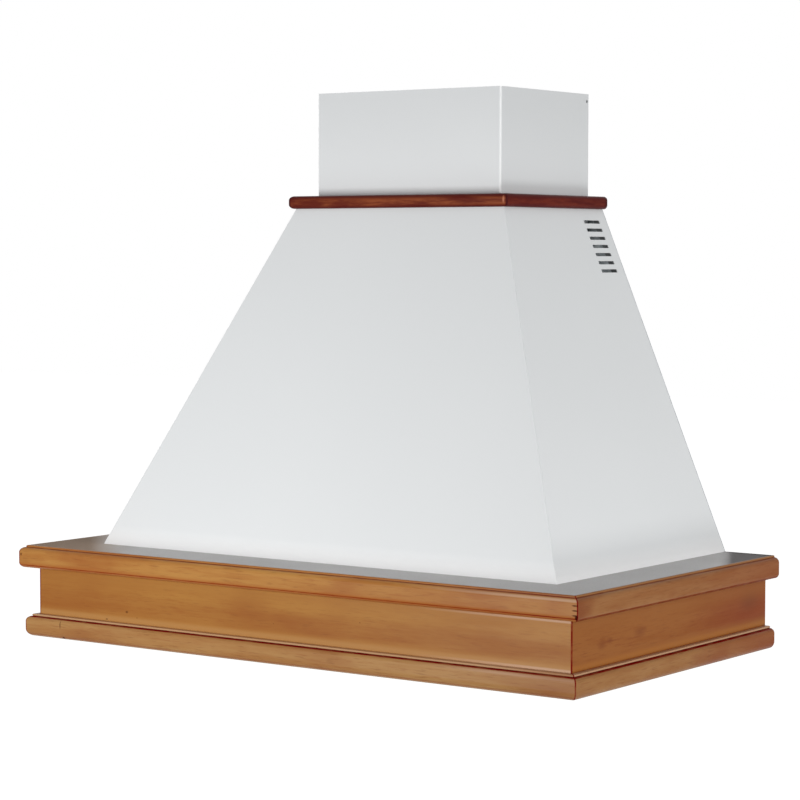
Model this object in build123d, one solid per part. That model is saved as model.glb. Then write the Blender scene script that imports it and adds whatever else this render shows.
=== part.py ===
from build123d import *
from math import cos, hypot, radians, sin, sqrt
import os

# A 90 cm wall-mounted kitchen hood: a white sheet-steel pyramid and chimney on a moulded
# wooden frame, with its blower, duct, lamps, filters and switches inside.
#
# All sizes are in millimetres. X runs along the wall, +Y points into the wall, whose face is
# y = 0, and +Z is up. Heights below are written from the underside of the wooden frame, and
# HANG_Z then moves every piece, so that the origin is the centre of the four wall screws.

# ------------------------------------------------------------------ driving dimensions
WIDTH = 900.0
DEPTH = 510.0
HEIGHT = 747.0
HANG_Z = 330.0

# wooden frame
FRAME_H = 125.7
MOULDING_H = 30.6
CORNICE_OUT = 20.0
CORNICE_FOOT_R = 7.0
CORNICE_NOSE_R = 7.0
RIM_H = 2.6
RIM_R = 1.5
BASE_OUT = 14.1
BASE_FOOT_R = 10.5
BASE_SHOULDER_R = 6.5
BEAD_H = 3.0
BOARD_T = 18.0
SHELF_T = 2.0
RIM_IN = 10.0
RAIL_Z = 10.0

# sheet metal
SHEET = 1.2
PANEL_T = 1.5
FOLD_R = 2.0

# pyramid canopy
CANOPY_BASE_X = 369.3
CANOPY_BASE_Y = 427.5
CANOPY_TOP_X = 172.5
CANOPY_TOP_Y = 247.0
CANOPY_TOP = 588.0
CANOPY_FLANGE = 20.0
RETURN_W = 18.0

# recirculation vents, one column on each side of the canopy
VENT_COUNT = 7
VENT_W = 40.5
VENT_H = 5.0
VENT_R = 1.0
VENT_PITCH_Z = 11.14
VENT_TOP_Z = 570.2
VENT_Y = -40.0

# neck trim and sliding chimney sleeve
TRIM_W = 28.0
TRIM_H = 17.5
TRIM_R = 6.0
TRIM_IN_X = 152.5
TRIM_IN_Y = 224.5
SLEEVE_X = 151.5
SLEEVE_Y = 224.0
SLEEVE_REAR = 2.2
SLEEVE_BOTTOM = 355.0
SLEEVE_R = 2.5
SLEEVE_RETURN = 20.0
SLEEVE_HOLE_R = 2.3
SLEEVE_HOLE_Y = -8.0
SLEEVE_HOLE_Z = HEIGHT - 10.2
SLEEVE_REST_GAP = 0.2

# wall screws
WALL_X = 180.0
WALL_Z = 100.0
WALL_HOLE_R = 4.0

# underside panel and its fittings
INTAKE_Z = 40.0
INTAKE_EDGE = 2.0
LIP_H = 7.0
FLANGE_W = 14.0
FILTER_W = 300.0
FILTER_D = 270.0
FILTER_H = 9.0
FILTER_X = 160.0
FILTER_REAR = 100.0
FILTER_GAP = 1.5
FILTER_BAR = 12.0
MESH_EDGE = 10.0
MESH_Z = 3.5
MESH_H = 2.0
LATCH_BOSS = 26.0
LATCH_DEPTH = 32.0
LATCH_HALF = 20.0
LATCH_Z = INTAKE_Z + 2.0
LATCH_T = 3.0
LATCH_PLAY = 0.3
NOSE_HALF = 8.0
NOSE_OUT = 1.2
CONTROL_Y = -425.0
CONTROL_W = 150.0
CONTROL_D = 34.0
BEZEL_T = 3.0
SWITCH_CUT_X = 66.0
SWITCH_CUT_Y = 11.0
SWITCH_BOX_H = 22.0
BUTTON_PITCH = 25.0
BUTTON_W = 17.2
BUTTON_D = 11.2
LAMP_X = 330.0
LAMP_R = 28.0

# blower
AXIS_Y = -180.0
AXIS_Z = 240.0
WHEEL_R = 75.0
WHEEL_HALF = 63.0
BLADES = 36
SCROLL_HALF = 75.0
SCROLL_T = 2.0
SCROLL_R = 90.0
SCROLL_STEP = 17.5
OUTLET_FRONT = -7.5
OUTLET_REAR = 142.5
OUTLET_TOP = 105.0
OUTLET_FLANGE = 8.0
INLET_R = 62.0
MOTOR_R = 42.0
SHAFT_R = 4.0
SHAFT_FIT = 0.05
SPIDER_T = 3.0
SPIDER_BOLT_R = 72.0
SPIDER_ANGLES = (90, 210, 330)
GROMMET_T = 3.0
GROMMET_Y = AXIS_Y + 112.0
GROMMET_ZS = (AXIS_Z - 25.0, AXIS_Z + 75.0)
BRACKET_X = SCROLL_HALF + GROMMET_T
BRACKET_FLANGE = 22.0
BRACKET_ZS = (AXIS_Z - 50.0, AXIS_Z + 90.0)
STOP_X = 127.0

# duct collar and its two back-draught flaps
COLLAR_R = 75.0
COLLAR_T = 1.5
COLLAR_H = 50.0
COLLAR_PLATE = 3.0
COLLAR_Y = AXIS_Y + (OUTLET_FRONT + OUTLET_REAR) / 2
COLLAR_Z = AXIS_Z + OUTLET_TOP
PIN_R = 1.5
PIN_Z = COLLAR_Z + 30.0
FLAP_T = 0.8
FLAP_GAP = 1.0

# terminal box, capacitor and cable
TERMINAL_X0 = 190.0
TERMINAL_X1 = 300.0
TERMINAL_Z0 = 162.0
TERMINAL_Z1 = 220.0
TERMINAL_DEPTH = 40.0
CAPACITOR_R = 14.0
CAPACITOR_Y = -PANEL_T - 22.0
CAPACITOR_Z = TERMINAL_Z0 + 26.0
CABLE_R = 3.0
CABLE_BEND = 20.0
CABLE_Z = 100.0

# fasteners
HEAD_R = 3.6
HEAD_H = 2.2
BODY_SHANK_R = 1.95
BODY_SHANK = 8.0
WOOD_SHANK_R = 1.75
WOOD_SHANK = 14.0
RIVET_R = 1.6
RIVET_SHANK = 2.6
HOLE_PLAY = 0.05

# ------------------------------------------------------------------ derived places
FRIEZE_X = WIDTH / 2 - CORNICE_OUT
FRIEZE_Y = DEPTH - CORNICE_OUT
BOARD_X = FRIEZE_X - BOARD_T
BOARD_Y = FRIEZE_Y - BOARD_T
BOARD_TOP = FRAME_H - SHELF_T
SHELF_OPEN_X = CANOPY_BASE_X - CANOPY_FLANGE
SHELF_OPEN_Y = CANOPY_BASE_Y - CANOPY_FLANGE
SHELF_REAR = 20.0
CHASSIS_REAR = BOARD_T
CHASSIS_IN_X = BOARD_X - SHEET
CHASSIS_IN_Y = BOARD_Y - SHEET
CHASSIS_MID_X = CHASSIS_IN_X - FLANGE_W / 2
CHASSIS_MID_Y = CHASSIS_IN_Y - FLANGE_W / 2
CHASSIS_SCREW_Z = 85.0
SIDE_LEAN = (CANOPY_BASE_X - CANOPY_TOP_X) / (CANOPY_TOP - FRAME_H)
FRONT_LEAN = (CANOPY_BASE_Y - CANOPY_TOP_Y) / (CANOPY_TOP - FRAME_H)
SIDE_SPREAD = hypot(1.0, SIDE_LEAN)
FRONT_SPREAD = hypot(1.0, FRONT_LEAN)
INTAKE_TOP = INTAKE_Z + SHEET
FLANGE_MID = CANOPY_BASE_X - CANOPY_FLANGE / 2
NECK_Z = CANOPY_TOP - SHEET
TRIM_MID = TRIM_W / 2 - 3.5
RIVET_Y = -PANEL_T - SHEET
SIDES = {"left": -1, "right": 1}


# ------------------------------------------------------------------ helpers
def block(x0, x1, y0, y1, z0, z1):
    """A box given by its limits."""
    centre = Pos((x0 + x1) / 2, (y0 + y1) / 2, (z0 + z1) / 2)
    return centre * Box(x1 - x0, y1 - y0, z1 - z0)


def rod(radius, start, end):
    """A round bar from start to end."""
    run = Vector(*end) - Vector(*start)
    return extrude(Plane(origin=start, z_dir=run) * Circle(radius), amount=run.length)


def flipped(shape):
    """The same piece on the other side of the middle of the hood."""
    return mirror(shape, about=Plane.YZ)


def placed(shape, side):
    """A piece drawn on the right, put on the side named by -1 (left) or 1 (right)."""
    return shape if side > 0 else flipped(shape)


def upright_edges(shape, y_limit):
    """The edges parallel to Z that lie in front of y_limit."""
    return [e for e in shape.edges().filter_by(Axis.Z) if e.center().Y < y_limit]


def canopy_half_x(z):
    """Half the outer width of the canopy at height z."""
    return CANOPY_BASE_X - SIDE_LEAN * (z - FRAME_H)


def canopy_block(z0, z1, inset, rear_y, fold_r):
    """The solid between two heights, moved in from the canopy's skin, its front folds rounded."""
    solid = block(-WIDTH / 2, WIDTH / 2, -DEPTH, rear_y, z0, z1)
    half_x = canopy_half_x(z0) - inset * SIDE_SPREAD
    front_y = -(CANOPY_BASE_Y - FRONT_LEAN * (z0 - FRAME_H) - inset * FRONT_SPREAD)
    skins = [
        Plane(origin=(half_x, 0, z0), z_dir=(1, 0, SIDE_LEAN)),
        Plane(origin=(-half_x, 0, z0), z_dir=(-1, 0, SIDE_LEAN)),
        Plane(origin=(0, front_y, z0), z_dir=(0, -1, FRONT_LEAN)),
    ]
    for skin in skins:
        solid = split(solid, bisect_by=skin, keep=Keep.BOTTOM)
    middle_z = (z0 + z1) / 2
    folds = [
        e for e in solid.edges()
        if abs(e.center().Z - middle_z) < 1.0 and e.center().Y < rear_y - 50.0
    ]
    return fillet(folds, fold_r)


# ------------------------------------------------------------------ fasteners
class Fasteners:
    """One kind of fastener: its solids, and the holes they need in what they hold."""

    def __init__(self, shank_r, shank, head_r, head_h):
        self.size = (shank_r, shank, head_r, head_h)
        self.solids = []
        self.holes = []

    def add(self, seat, direction):
        """Put one with its head's underside at seat and its shank along direction."""
        shank_r, shank, head_r, head_h = self.size
        way = Vector(*direction)
        foot = Vector(*seat)
        tip = foot + way * shank
        top = foot - way * head_h
        head = rod(head_r, foot, top)
        rim = head.edges().sort_by(lambda e: (e.center() - foot).length)[-1]
        head = fillet(rim, head_h * 0.35)
        self.solids.append(head + rod(shank_r, foot, tip))
        self.holes.append(rod(shank_r + HOLE_PLAY, top, tip))

    def cut(self, shape, *ranges):
        """Cut the holes numbered by the ranges out of a piece."""
        for numbers in ranges:
            for number in numbers:
                shape = shape - self.holes[number]
        return shape

    def group(self):
        return Compound([s.solid() for s in self.solids])


body = Fasteners(BODY_SHANK_R, BODY_SHANK, HEAD_R, HEAD_H)
wood = Fasteners(WOOD_SHANK_R, WOOD_SHANK, HEAD_R, HEAD_H)
rivets = Fasteners(RIVET_R, RIVET_SHANK, HEAD_R * 0.9, HEAD_H * 0.5)


def add_all(kind, seats, direction):
    """Add one fastener at each seat, and give their numbers."""
    first = len(kind.solids)
    for seat in seats:
        kind.add(seat, direction)
    return range(first, len(kind.solids))


shelf_seats = [(x, -CANOPY_BASE_Y + CANOPY_FLANGE / 2, FRAME_H + SHEET) for x in (-250, 0, 250)]
shelf_seats += [(s * FLANGE_MID, y, FRAME_H + SHEET) for s in (-1, 1) for y in (-300, -120)]
SHELF_SCREWS = add_all(body, shelf_seats, (0, 0, -1))

intake_seats = [(s * CHASSIS_MID_X, y, INTAKE_Z) for s in (-1, 1) for y in (-400, -245, -90)]
intake_seats += [(x, -CHASSIS_MID_Y, INTAKE_Z) for x in (-220, 220)]
intake_seats += [(x, -CHASSIS_REAR - SHEET - FLANGE_W / 2, INTAKE_Z) for x in (-220, 220)]
INTAKE_SCREWS = add_all(body, intake_seats, (0, 0, 1))

BLOWER_SCREWS = {}
for side_name, side in SIDES.items():
    seats = [(side * (BRACKET_X + SHEET), GROMMET_Y, z) for z in GROMMET_ZS]
    BLOWER_SCREWS[side_name] = add_all(body, seats, (-side, 0, 0))

COLLAR_EDGE = OUTLET_FLANGE - 4.0
collar_seats = [
    (side * (SCROLL_HALF + COLLAR_EDGE), AXIS_Y + y, COLLAR_Z + COLLAR_PLATE)
    for side in (-1, 1)
    for y in (OUTLET_FRONT - COLLAR_EDGE, OUTLET_REAR + COLLAR_EDGE)
]
COLLAR_SCREWS = add_all(body, collar_seats, (0, 0, -1))

spider_seats = [
    (-SCROLL_HALF - SPIDER_T, AXIS_Y + SPIDER_BOLT_R * cos(radians(a)),
     AXIS_Z + SPIDER_BOLT_R * sin(radians(a)))
    for a in SPIDER_ANGLES
]
SPIDER_SCREWS = add_all(body, spider_seats, (1, 0, 0))

FRONT_WOOD = add_all(wood, [(x, -CHASSIS_IN_Y, CHASSIS_SCREW_Z) for x in (-300, 0, 300)], (0, -1, 0))
SIDE_WOOD = {}
for side_name, side in SIDES.items():
    seats = [(side * CHASSIS_IN_X, y, CHASSIS_SCREW_Z) for y in (-380, -240, -100)]
    SIDE_WOOD[side_name] = add_all(wood, seats, (side, 0, 0))
rear_seats = [(x, -CHASSIS_REAR - SHEET, CHASSIS_SCREW_Z) for x in (-250, 250)]
REAR_WOOD = add_all(wood, rear_seats, (0, 1, 0))
trim_front = [(x, -TRIM_IN_Y - TRIM_MID - 3.0, NECK_Z) for x in (-90, 90)]
TRIM_WOOD = {"front": add_all(wood, trim_front, (0, 0, 1))}
for side_name, side in SIDES.items():
    seats = [(side * (TRIM_IN_X + TRIM_MID), y, NECK_Z) for y in (-160, -60)]
    TRIM_WOOD[side_name] = add_all(wood, seats, (0, 0, 1))

rivet_seats = [
    (side * (canopy_half_x(z) - RETURN_W * SIDE_SPREAD / 2), RIVET_Y, z)
    for side in (-1, 1)
    for z in (180, 340, 520)
]
CANOPY_RIVETS = add_all(rivets, rivet_seats, (0, 1, 0))
BRACKET_RIVETS = {}
for side_name, side in SIDES.items():
    seats = [(side * (BRACKET_X + BRACKET_FLANGE * 0.6), RIVET_Y, z) for z in (210, 310)]
    BRACKET_RIVETS[side_name] = add_all(rivets, seats, (0, 1, 0))
stop_seats = [(side * STOP_X, RIVET_Y, SLEEVE_BOTTOM - 14.0) for side in (-1, 1)]
STOP_RIVETS = add_all(rivets, stop_seats, (0, 1, 0))
terminal_seats = [(x, RIVET_Y, TERMINAL_Z1 - 8.0) for x in (TERMINAL_X0 + 10.0, TERMINAL_X1 - 10.0)]
TERMINAL_RIVETS = add_all(rivets, terminal_seats, (0, 1, 0))


# ------------------------------------------------------------------ mitred wood
def mitred_runs(section, corner_x, corner_y, reach):
    """Front, left and right runs of one section, mitred where they meet at the front corners.

    The section is drawn with x outward from the corner lines and y up; reach is as far as it
    stands out, so the runs are cut long enough for their mitres.
    """
    front_plane = Plane(origin=(corner_x + reach, -corner_y, 0), x_dir=(0, -1, 0), z_dir=(-1, 0, 0))
    front = extrude(front_plane * section, amount=2 * (corner_x + reach))
    side_plane = Plane(origin=(corner_x, 0, 0), x_dir=(1, 0, 0), z_dir=(0, -1, 0))
    right = extrude(side_plane * section, amount=corner_y + reach)
    mitre_right = Plane(origin=(corner_x, -corner_y, 0), z_dir=(1, 1, 0))
    mitre_left = Plane(origin=(-corner_x, -corner_y, 0), z_dir=(-1, 1, 0))
    front = split(front, bisect_by=mitre_right, keep=Keep.BOTTOM)
    front = split(front, bisect_by=mitre_left, keep=Keep.BOTTOM)
    right = split(right, bisect_by=mitre_right, keep=Keep.TOP)
    return {"front": front, "left": flipped(right), "right": right}


def base_moulding_section():
    """Base moulding: rounded foot, upright face, rounded shoulder and a small bead on top."""
    bead_v = MOULDING_H - BEAD_H
    shoulder_u = BASE_OUT - BASE_SHOULDER_R
    bead_u = shoulder_u - BEAD_H / 2
    face_top = bead_v - BASE_SHOULDER_R
    outline = [
        Line((0, 0), (BASE_OUT - BASE_FOOT_R, 0)),
        RadiusArc((BASE_OUT - BASE_FOOT_R, 0), (BASE_OUT, BASE_FOOT_R), -BASE_FOOT_R),
        Line((BASE_OUT, BASE_FOOT_R), (BASE_OUT, face_top)),
        RadiusArc((BASE_OUT, face_top), (shoulder_u, bead_v), -BASE_SHOULDER_R),
        Line((shoulder_u, bead_v), (bead_u, bead_v)),
        ThreePointArc((bead_u, bead_v), (shoulder_u, bead_v + BEAD_H / 2), (bead_u, MOULDING_H)),
        Polyline((bead_u, MOULDING_H), (0, MOULDING_H), (0, 0)),
    ]
    return make_face(outline)


def cornice_section():
    """Cornice: a face rounded at its foot and nose, a thin rim, and a rebate for the shelf."""
    rim_u = CORNICE_OUT - CORNICE_NOSE_R
    quirk_v = MOULDING_H - RIM_H
    face_top = quirk_v - CORNICE_NOSE_R
    rebate_v = MOULDING_H - SHELF_T
    outline = [
        Line((0, 0), (CORNICE_OUT - CORNICE_FOOT_R, 0)),
        RadiusArc((CORNICE_OUT - CORNICE_FOOT_R, 0), (CORNICE_OUT, CORNICE_FOOT_R), -CORNICE_FOOT_R),
        Line((CORNICE_OUT, CORNICE_FOOT_R), (CORNICE_OUT, face_top)),
        RadiusArc((CORNICE_OUT, face_top), (rim_u, quirk_v), -CORNICE_NOSE_R),
        Line((rim_u, quirk_v), (rim_u, MOULDING_H - RIM_R)),
        RadiusArc((rim_u, MOULDING_H - RIM_R), (rim_u - RIM_R, MOULDING_H), -RIM_R),
        Polyline((rim_u - RIM_R, MOULDING_H), (RIM_IN, MOULDING_H), (RIM_IN, rebate_v),
                 (0, rebate_v), (0, 0)),
    ]
    return make_face(outline)


def trim_section():
    """Neck trim: a flat strip whose outer edge is rounded top and bottom."""
    edge_u = TRIM_W - TRIM_R
    outline = [
        Line((0, 0), (edge_u, 0)),
        RadiusArc((edge_u, 0), (TRIM_W, TRIM_R), -TRIM_R),
        Line((TRIM_W, TRIM_R), (TRIM_W, TRIM_H - TRIM_R)),
        RadiusArc((TRIM_W, TRIM_H - TRIM_R), (edge_u, TRIM_H), -TRIM_R),
        Polyline((edge_u, TRIM_H), (0, TRIM_H), (0, 0)),
    ]
    return make_face(outline)


def board_section():
    """Frieze board, whose outer face is the corner line."""
    return Pos(-BOARD_T / 2, BOARD_TOP / 2) * Rectangle(BOARD_T, BOARD_TOP)


def raised(runs, z):
    return {name: Pos(0, 0, z) * run for name, run in runs.items()}


def wooden_frame():
    pieces = {}
    boards = mitred_runs(board_section(), FRIEZE_X, FRIEZE_Y, 0.0)
    boards["front"] = wood.cut(boards["front"], FRONT_WOOD)
    for name in SIDES:
        boards[name] = wood.cut(boards[name], SIDE_WOOD[name])
    bases = mitred_runs(base_moulding_section(), FRIEZE_X, FRIEZE_Y, BASE_OUT)
    cornices = mitred_runs(cornice_section(), FRIEZE_X, FRIEZE_Y, CORNICE_OUT)
    cornices = raised(cornices, FRAME_H - MOULDING_H)
    trims = raised(mitred_runs(trim_section(), TRIM_IN_X, TRIM_IN_Y, TRIM_W), CANOPY_TOP)
    for name in ("front", "left", "right"):
        pieces["frieze_board_" + name] = boards[name]
        pieces["base_moulding_" + name] = bases[name]
        pieces["cornice_" + name] = cornices[name]
        pieces["neck_trim_" + name] = wood.cut(trims[name], TRIM_WOOD[name])
    rail = block(-BOARD_X, BOARD_X, -BOARD_T, 0, RAIL_Z, BOARD_TOP)
    pieces["rear_rail"] = wood.cut(rail, REAR_WOOD)
    pieces["corner_blocks"] = corner_blocks()
    return pieces


def corner_blocks():
    """Triangular glue blocks in the two front corners of the frame, under the intake panel."""
    leg = 35.0
    corner = Polygon((BOARD_X, -BOARD_Y), (BOARD_X, -BOARD_Y + leg), (BOARD_X - leg, -BOARD_Y),
                     align=None)
    one = Pos(0, 0, 4.0) * extrude(corner, amount=INTAKE_Z - 8.0)
    return Compound([one.solid(), flipped(one).solid()])


# ------------------------------------------------------------------ body sheet metal
def shelf_plate():
    """Grey board round the foot of the canopy, let into the cornice and flush with its rim."""
    edge = RIM_IN - 0.1
    plate = block(-FRIEZE_X - edge, FRIEZE_X + edge, -FRIEZE_Y - edge, 0, BOARD_TOP, FRAME_H)
    plate -= block(-SHELF_OPEN_X, SHELF_OPEN_X, -SHELF_OPEN_Y, -SHELF_REAR, 0, HEIGHT)
    return body.cut(plate, SHELF_SCREWS)


def chassis_frame():
    """Folded steel ring inside the boards, with a flange at its top and at its bottom."""
    outer = block(-BOARD_X, BOARD_X, -BOARD_Y, -CHASSIS_REAR, INTAKE_TOP, BOARD_TOP)
    room = block(-CHASSIS_IN_X, CHASSIS_IN_X, -CHASSIS_IN_Y, -CHASSIS_REAR - SHEET,
                 INTAKE_TOP + SHEET, BOARD_TOP - SHEET)
    open_x = CHASSIS_IN_X - FLANGE_W
    through = block(-open_x, open_x, -CHASSIS_IN_Y + FLANGE_W, -CHASSIS_REAR - SHEET - FLANGE_W,
                    0, HEIGHT)
    ring = outer - room - through
    ring = body.cut(ring, INTAKE_SCREWS)
    return wood.cut(ring, FRONT_WOOD, SIDE_WOOD["left"], SIDE_WOOD["right"], REAR_WOOD)


def vent_slot(z):
    """Cutter for one vent slot in the right side of the canopy, square to its skin."""
    skin = Plane(origin=(canopy_half_x(z), VENT_Y, z), x_dir=(0, 1, 0), z_dir=(1, 0, SIDE_LEAN))
    return extrude(skin * RectangleRounded(VENT_W, VENT_H, VENT_R), amount=3 * SHEET, both=True)


def canopy_shell():
    """Pyramid of folded sheet: front and sides, with flanges at its foot, neck and rear edges."""
    rear = -PANEL_T
    shell = canopy_block(FRAME_H, CANOPY_TOP, 0.0, rear, FOLD_R)
    shell -= canopy_block(FRAME_H + SHEET, NECK_Z, SHEET, rear - SHEET, FOLD_R - SHEET)
    foot = block(-SHELF_OPEN_X, SHELF_OPEN_X, -SHELF_OPEN_Y, -SHELF_REAR, 0, FRAME_H + 2 * SHEET)
    neck = block(-TRIM_IN_X, TRIM_IN_X, -TRIM_IN_Y, 0, NECK_Z - SHEET, HEIGHT)
    shell = shell - foot - neck
    window_z = FRAME_H + 30.0
    inset = RETURN_W * SIDE_SPREAD
    low_x = canopy_half_x(window_z) - inset
    high_x = canopy_half_x(CANOPY_TOP) - inset
    window = Polygon((-low_x, window_z), (low_x, window_z), (high_x, CANOPY_TOP),
                     (-high_x, CANOPY_TOP), align=None)
    shell -= extrude(Plane.XZ * window, amount=4 * SHEET)
    slots = [vent_slot(VENT_TOP_Z - number * VENT_PITCH_Z) for number in range(VENT_COUNT)]
    shell = shell - slots - [flipped(slot) for slot in slots]
    shell = body.cut(shell, SHELF_SCREWS)
    shell = wood.cut(shell, *TRIM_WOOD.values())
    return rivets.cut(shell, CANOPY_RIVETS)


def back_panel():
    """Galvanised back of the canopy, with the four wall-screw holes."""
    outline = Polygon(
        (-CANOPY_BASE_X, FRAME_H), (CANOPY_BASE_X, FRAME_H),
        (CANOPY_TOP_X, CANOPY_TOP), (-CANOPY_TOP_X, CANOPY_TOP), align=None)
    panel = extrude(Plane.XZ * outline, amount=PANEL_T)
    for x in (-WALL_X, WALL_X):
        for z in (HANG_Z - WALL_Z, HANG_Z + WALL_Z):
            panel -= rod(WALL_HOLE_R, (x, -2 * PANEL_T, z), (x, PANEL_T, z))
    holding = [CANOPY_RIVETS, STOP_RIVETS, TERMINAL_RIVETS]
    return rivets.cut(panel, *holding, *BRACKET_RIVETS.values())


def chimney_sleeve():
    """Folded sleeve, open at the rear between its two return flanges."""
    outer = block(-SLEEVE_X, SLEEVE_X, -SLEEVE_Y, -SLEEVE_REAR, SLEEVE_BOTTOM, HEIGHT)
    outer = fillet(upright_edges(outer, 0.0), SLEEVE_R)
    inner = block(-SLEEVE_X + SHEET, SLEEVE_X - SHEET, -SLEEVE_Y + SHEET, -SLEEVE_REAR - SHEET,
                  SLEEVE_BOTTOM, HEIGHT)
    inner = fillet(upright_edges(inner, 0.0), SLEEVE_R - SHEET)
    open_x = SLEEVE_X - SLEEVE_RETURN
    rear = block(-open_x, open_x, -SLEEVE_REAR - 2 * SHEET, 0, SLEEVE_BOTTOM, HEIGHT)
    reach = SLEEVE_X + SHEET
    hole = rod(SLEEVE_HOLE_R, (-reach, SLEEVE_HOLE_Y, SLEEVE_HOLE_Z), (reach, SLEEVE_HOLE_Y, SLEEVE_HOLE_Z))
    return outer - inner - rear - hole


def sleeve_stops():
    """Two angle brackets on the back panel, which carry the sleeve's return flanges."""
    half = 15.0
    shelf_d = 20.0
    leg_h = 26.0
    top = SLEEVE_BOTTOM - SLEEVE_REST_GAP
    one = block(STOP_X - half, STOP_X + half, -PANEL_T - shelf_d, -PANEL_T, top - SHEET, top)
    one += block(STOP_X - half, STOP_X + half, RIVET_Y, -PANEL_T, top - leg_h, top)
    pair = [rivets.cut(placed(one, side), STOP_RIVETS).solid() for side in (-1, 1)]
    return Compound(pair)


# ------------------------------------------------------------------ underside
def intake_panel():
    """Underside panel: two filter openings with turned-up lips, lamp holes, switch cut-out."""
    panel = block(-BOARD_X + INTAKE_EDGE, BOARD_X - INTAKE_EDGE, -BOARD_Y + INTAKE_EDGE,
                  -CHASSIS_REAR - INTAKE_EDGE, INTAKE_Z, INTAKE_TOP)
    half_w = FILTER_W / 2 + FILTER_GAP
    front = -FILTER_REAR - FILTER_D - FILTER_GAP
    rear = -FILTER_REAR + FILTER_GAP
    for side in SIDES.values():
        x = side * FILTER_X
        panel += block(x - half_w - SHEET, x + half_w + SHEET, front - SHEET, rear + SHEET,
                       INTAKE_Z, INTAKE_Z + LIP_H)
    for side in SIDES.values():
        x = side * FILTER_X
        panel -= block(x - half_w, x + half_w, front, rear, 0, HEIGHT)
        lamp = (side * LAMP_X, CONTROL_Y)
        panel -= rod(LAMP_R, (*lamp, INTAKE_Z - SHEET), (*lamp, INTAKE_TOP + SHEET))
    panel -= block(-SWITCH_CUT_X, SWITCH_CUT_X, CONTROL_Y - SWITCH_CUT_Y, CONTROL_Y + SWITCH_CUT_Y,
                   0, HEIGHT)
    return body.cut(panel, INTAKE_SCREWS)


def filter_frame(side):
    """Aluminium cassette frame with two rear tabs and a housing for its latch."""
    x = side * FILTER_X
    half_w = FILTER_W / 2
    front = -FILTER_REAR - FILTER_D
    top = INTAKE_Z + FILTER_H
    frame = block(x - half_w, x + half_w, front, -FILTER_REAR, INTAKE_Z, top)
    frame -= block(x - half_w + FILTER_BAR, x + half_w - FILTER_BAR, front + FILTER_BAR,
                   -FILTER_REAR - FILTER_BAR, INTAKE_Z, top)
    frame -= mesh_block(x)
    frame += block(x - LATCH_BOSS, x + LATCH_BOSS, front, front + LATCH_DEPTH, INTAKE_Z, top)
    frame -= block(x - LATCH_HALF - LATCH_PLAY, x + LATCH_HALF + LATCH_PLAY, front + 2.0,
                   front + LATCH_DEPTH - 3.0, LATCH_Z - LATCH_PLAY, LATCH_Z + LATCH_T + LATCH_PLAY)
    frame -= block(x - LATCH_HALF + 4.0, x + LATCH_HALF - 4.0, front + 2.0,
                   front + LATCH_DEPTH - 3.0, INTAKE_Z, LATCH_Z)
    frame -= block(x - NOSE_HALF - LATCH_PLAY, x + NOSE_HALF + LATCH_PLAY, front, front + 2.0,
                   LATCH_Z - LATCH_PLAY, LATCH_Z + LATCH_T + LATCH_PLAY)
    for tab_x in (x - 90.0, x + 90.0):
        frame += block(tab_x - 10.0, tab_x + 10.0, -FILTER_REAR - 4.0, -FILTER_REAR + 7.0,
                       top - 1.0, top)
    return frame


def mesh_block(x):
    """The space of the mesh pack, which the frame's groove holds on all four sides."""
    half_w = FILTER_W / 2 - MESH_EDGE
    return block(x - half_w, x + half_w, -FILTER_REAR - FILTER_D + MESH_EDGE, -FILTER_REAR - MESH_EDGE,
                 INTAKE_Z + MESH_Z, INTAKE_Z + MESH_Z + MESH_H)


def filter_mesh(side):
    """Pack of expanded aluminium mesh, notched round the latch housing."""
    x = side * FILTER_X
    front = -FILTER_REAR - FILTER_D
    notch = block(x - LATCH_BOSS, x + LATCH_BOSS, front, front + LATCH_DEPTH, 0, HEIGHT)
    return mesh_block(x) - notch


def filter_latch(side):
    """Sliding latch plate with its nose in the front bar and a finger ridge underneath."""
    x = side * FILTER_X
    front = -FILTER_REAR - FILTER_D
    top = LATCH_Z + LATCH_T
    plate = block(x - LATCH_HALF, x + LATCH_HALF, front + 2.2, front + 21.0, LATCH_Z, top)
    plate += block(x - NOSE_HALF, x + NOSE_HALF, front - NOSE_OUT, front + 2.2, LATCH_Z, top)
    plate += block(x - 12.0, x + 12.0, front + 10.0, front + 13.0, INTAKE_Z + 0.4, LATCH_Z)
    return plate


def control_bezel():
    """Plate round the five push buttons."""
    plate = RectangleRounded(CONTROL_W, CONTROL_D, 6.0)
    clearance = 0.8
    for number in range(-2, 3):
        window = RectangleRounded(BUTTON_W + clearance, BUTTON_D + clearance, 2.0)
        plate -= Pos(number * BUTTON_PITCH, 0) * window
    solid = Pos(0, CONTROL_Y, INTAKE_Z - BEZEL_T) * extrude(plate, amount=BEZEL_T)
    rim = solid.faces().sort_by(Axis.Z)[0].outer_wire().edges()
    return fillet(rim, 1.0)


def push_button(number):
    """Button number -2 to 2 from the left: cap, retaining flange and stem."""
    flange_z = INTAKE_Z + 0.3
    cap_z = INTAKE_Z - BEZEL_T - 2.5
    cap = Pos(0, 0, cap_z) * extrude(RectangleRounded(BUTTON_W, BUTTON_D, 1.6), amount=flange_z - cap_z)
    cap = fillet(cap.faces().sort_by(Axis.Z)[0].edges(), 0.8)
    flange = Pos(0, 0, flange_z) * extrude(Rectangle(20.0, 15.0), amount=1.6)
    stem = Pos(0, 0, flange_z + 1.6) * extrude(Rectangle(6.0, 6.0), amount=8.0)
    return Pos(number * BUTTON_PITCH, CONTROL_Y, 0) * (cap + flange + stem)


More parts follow.
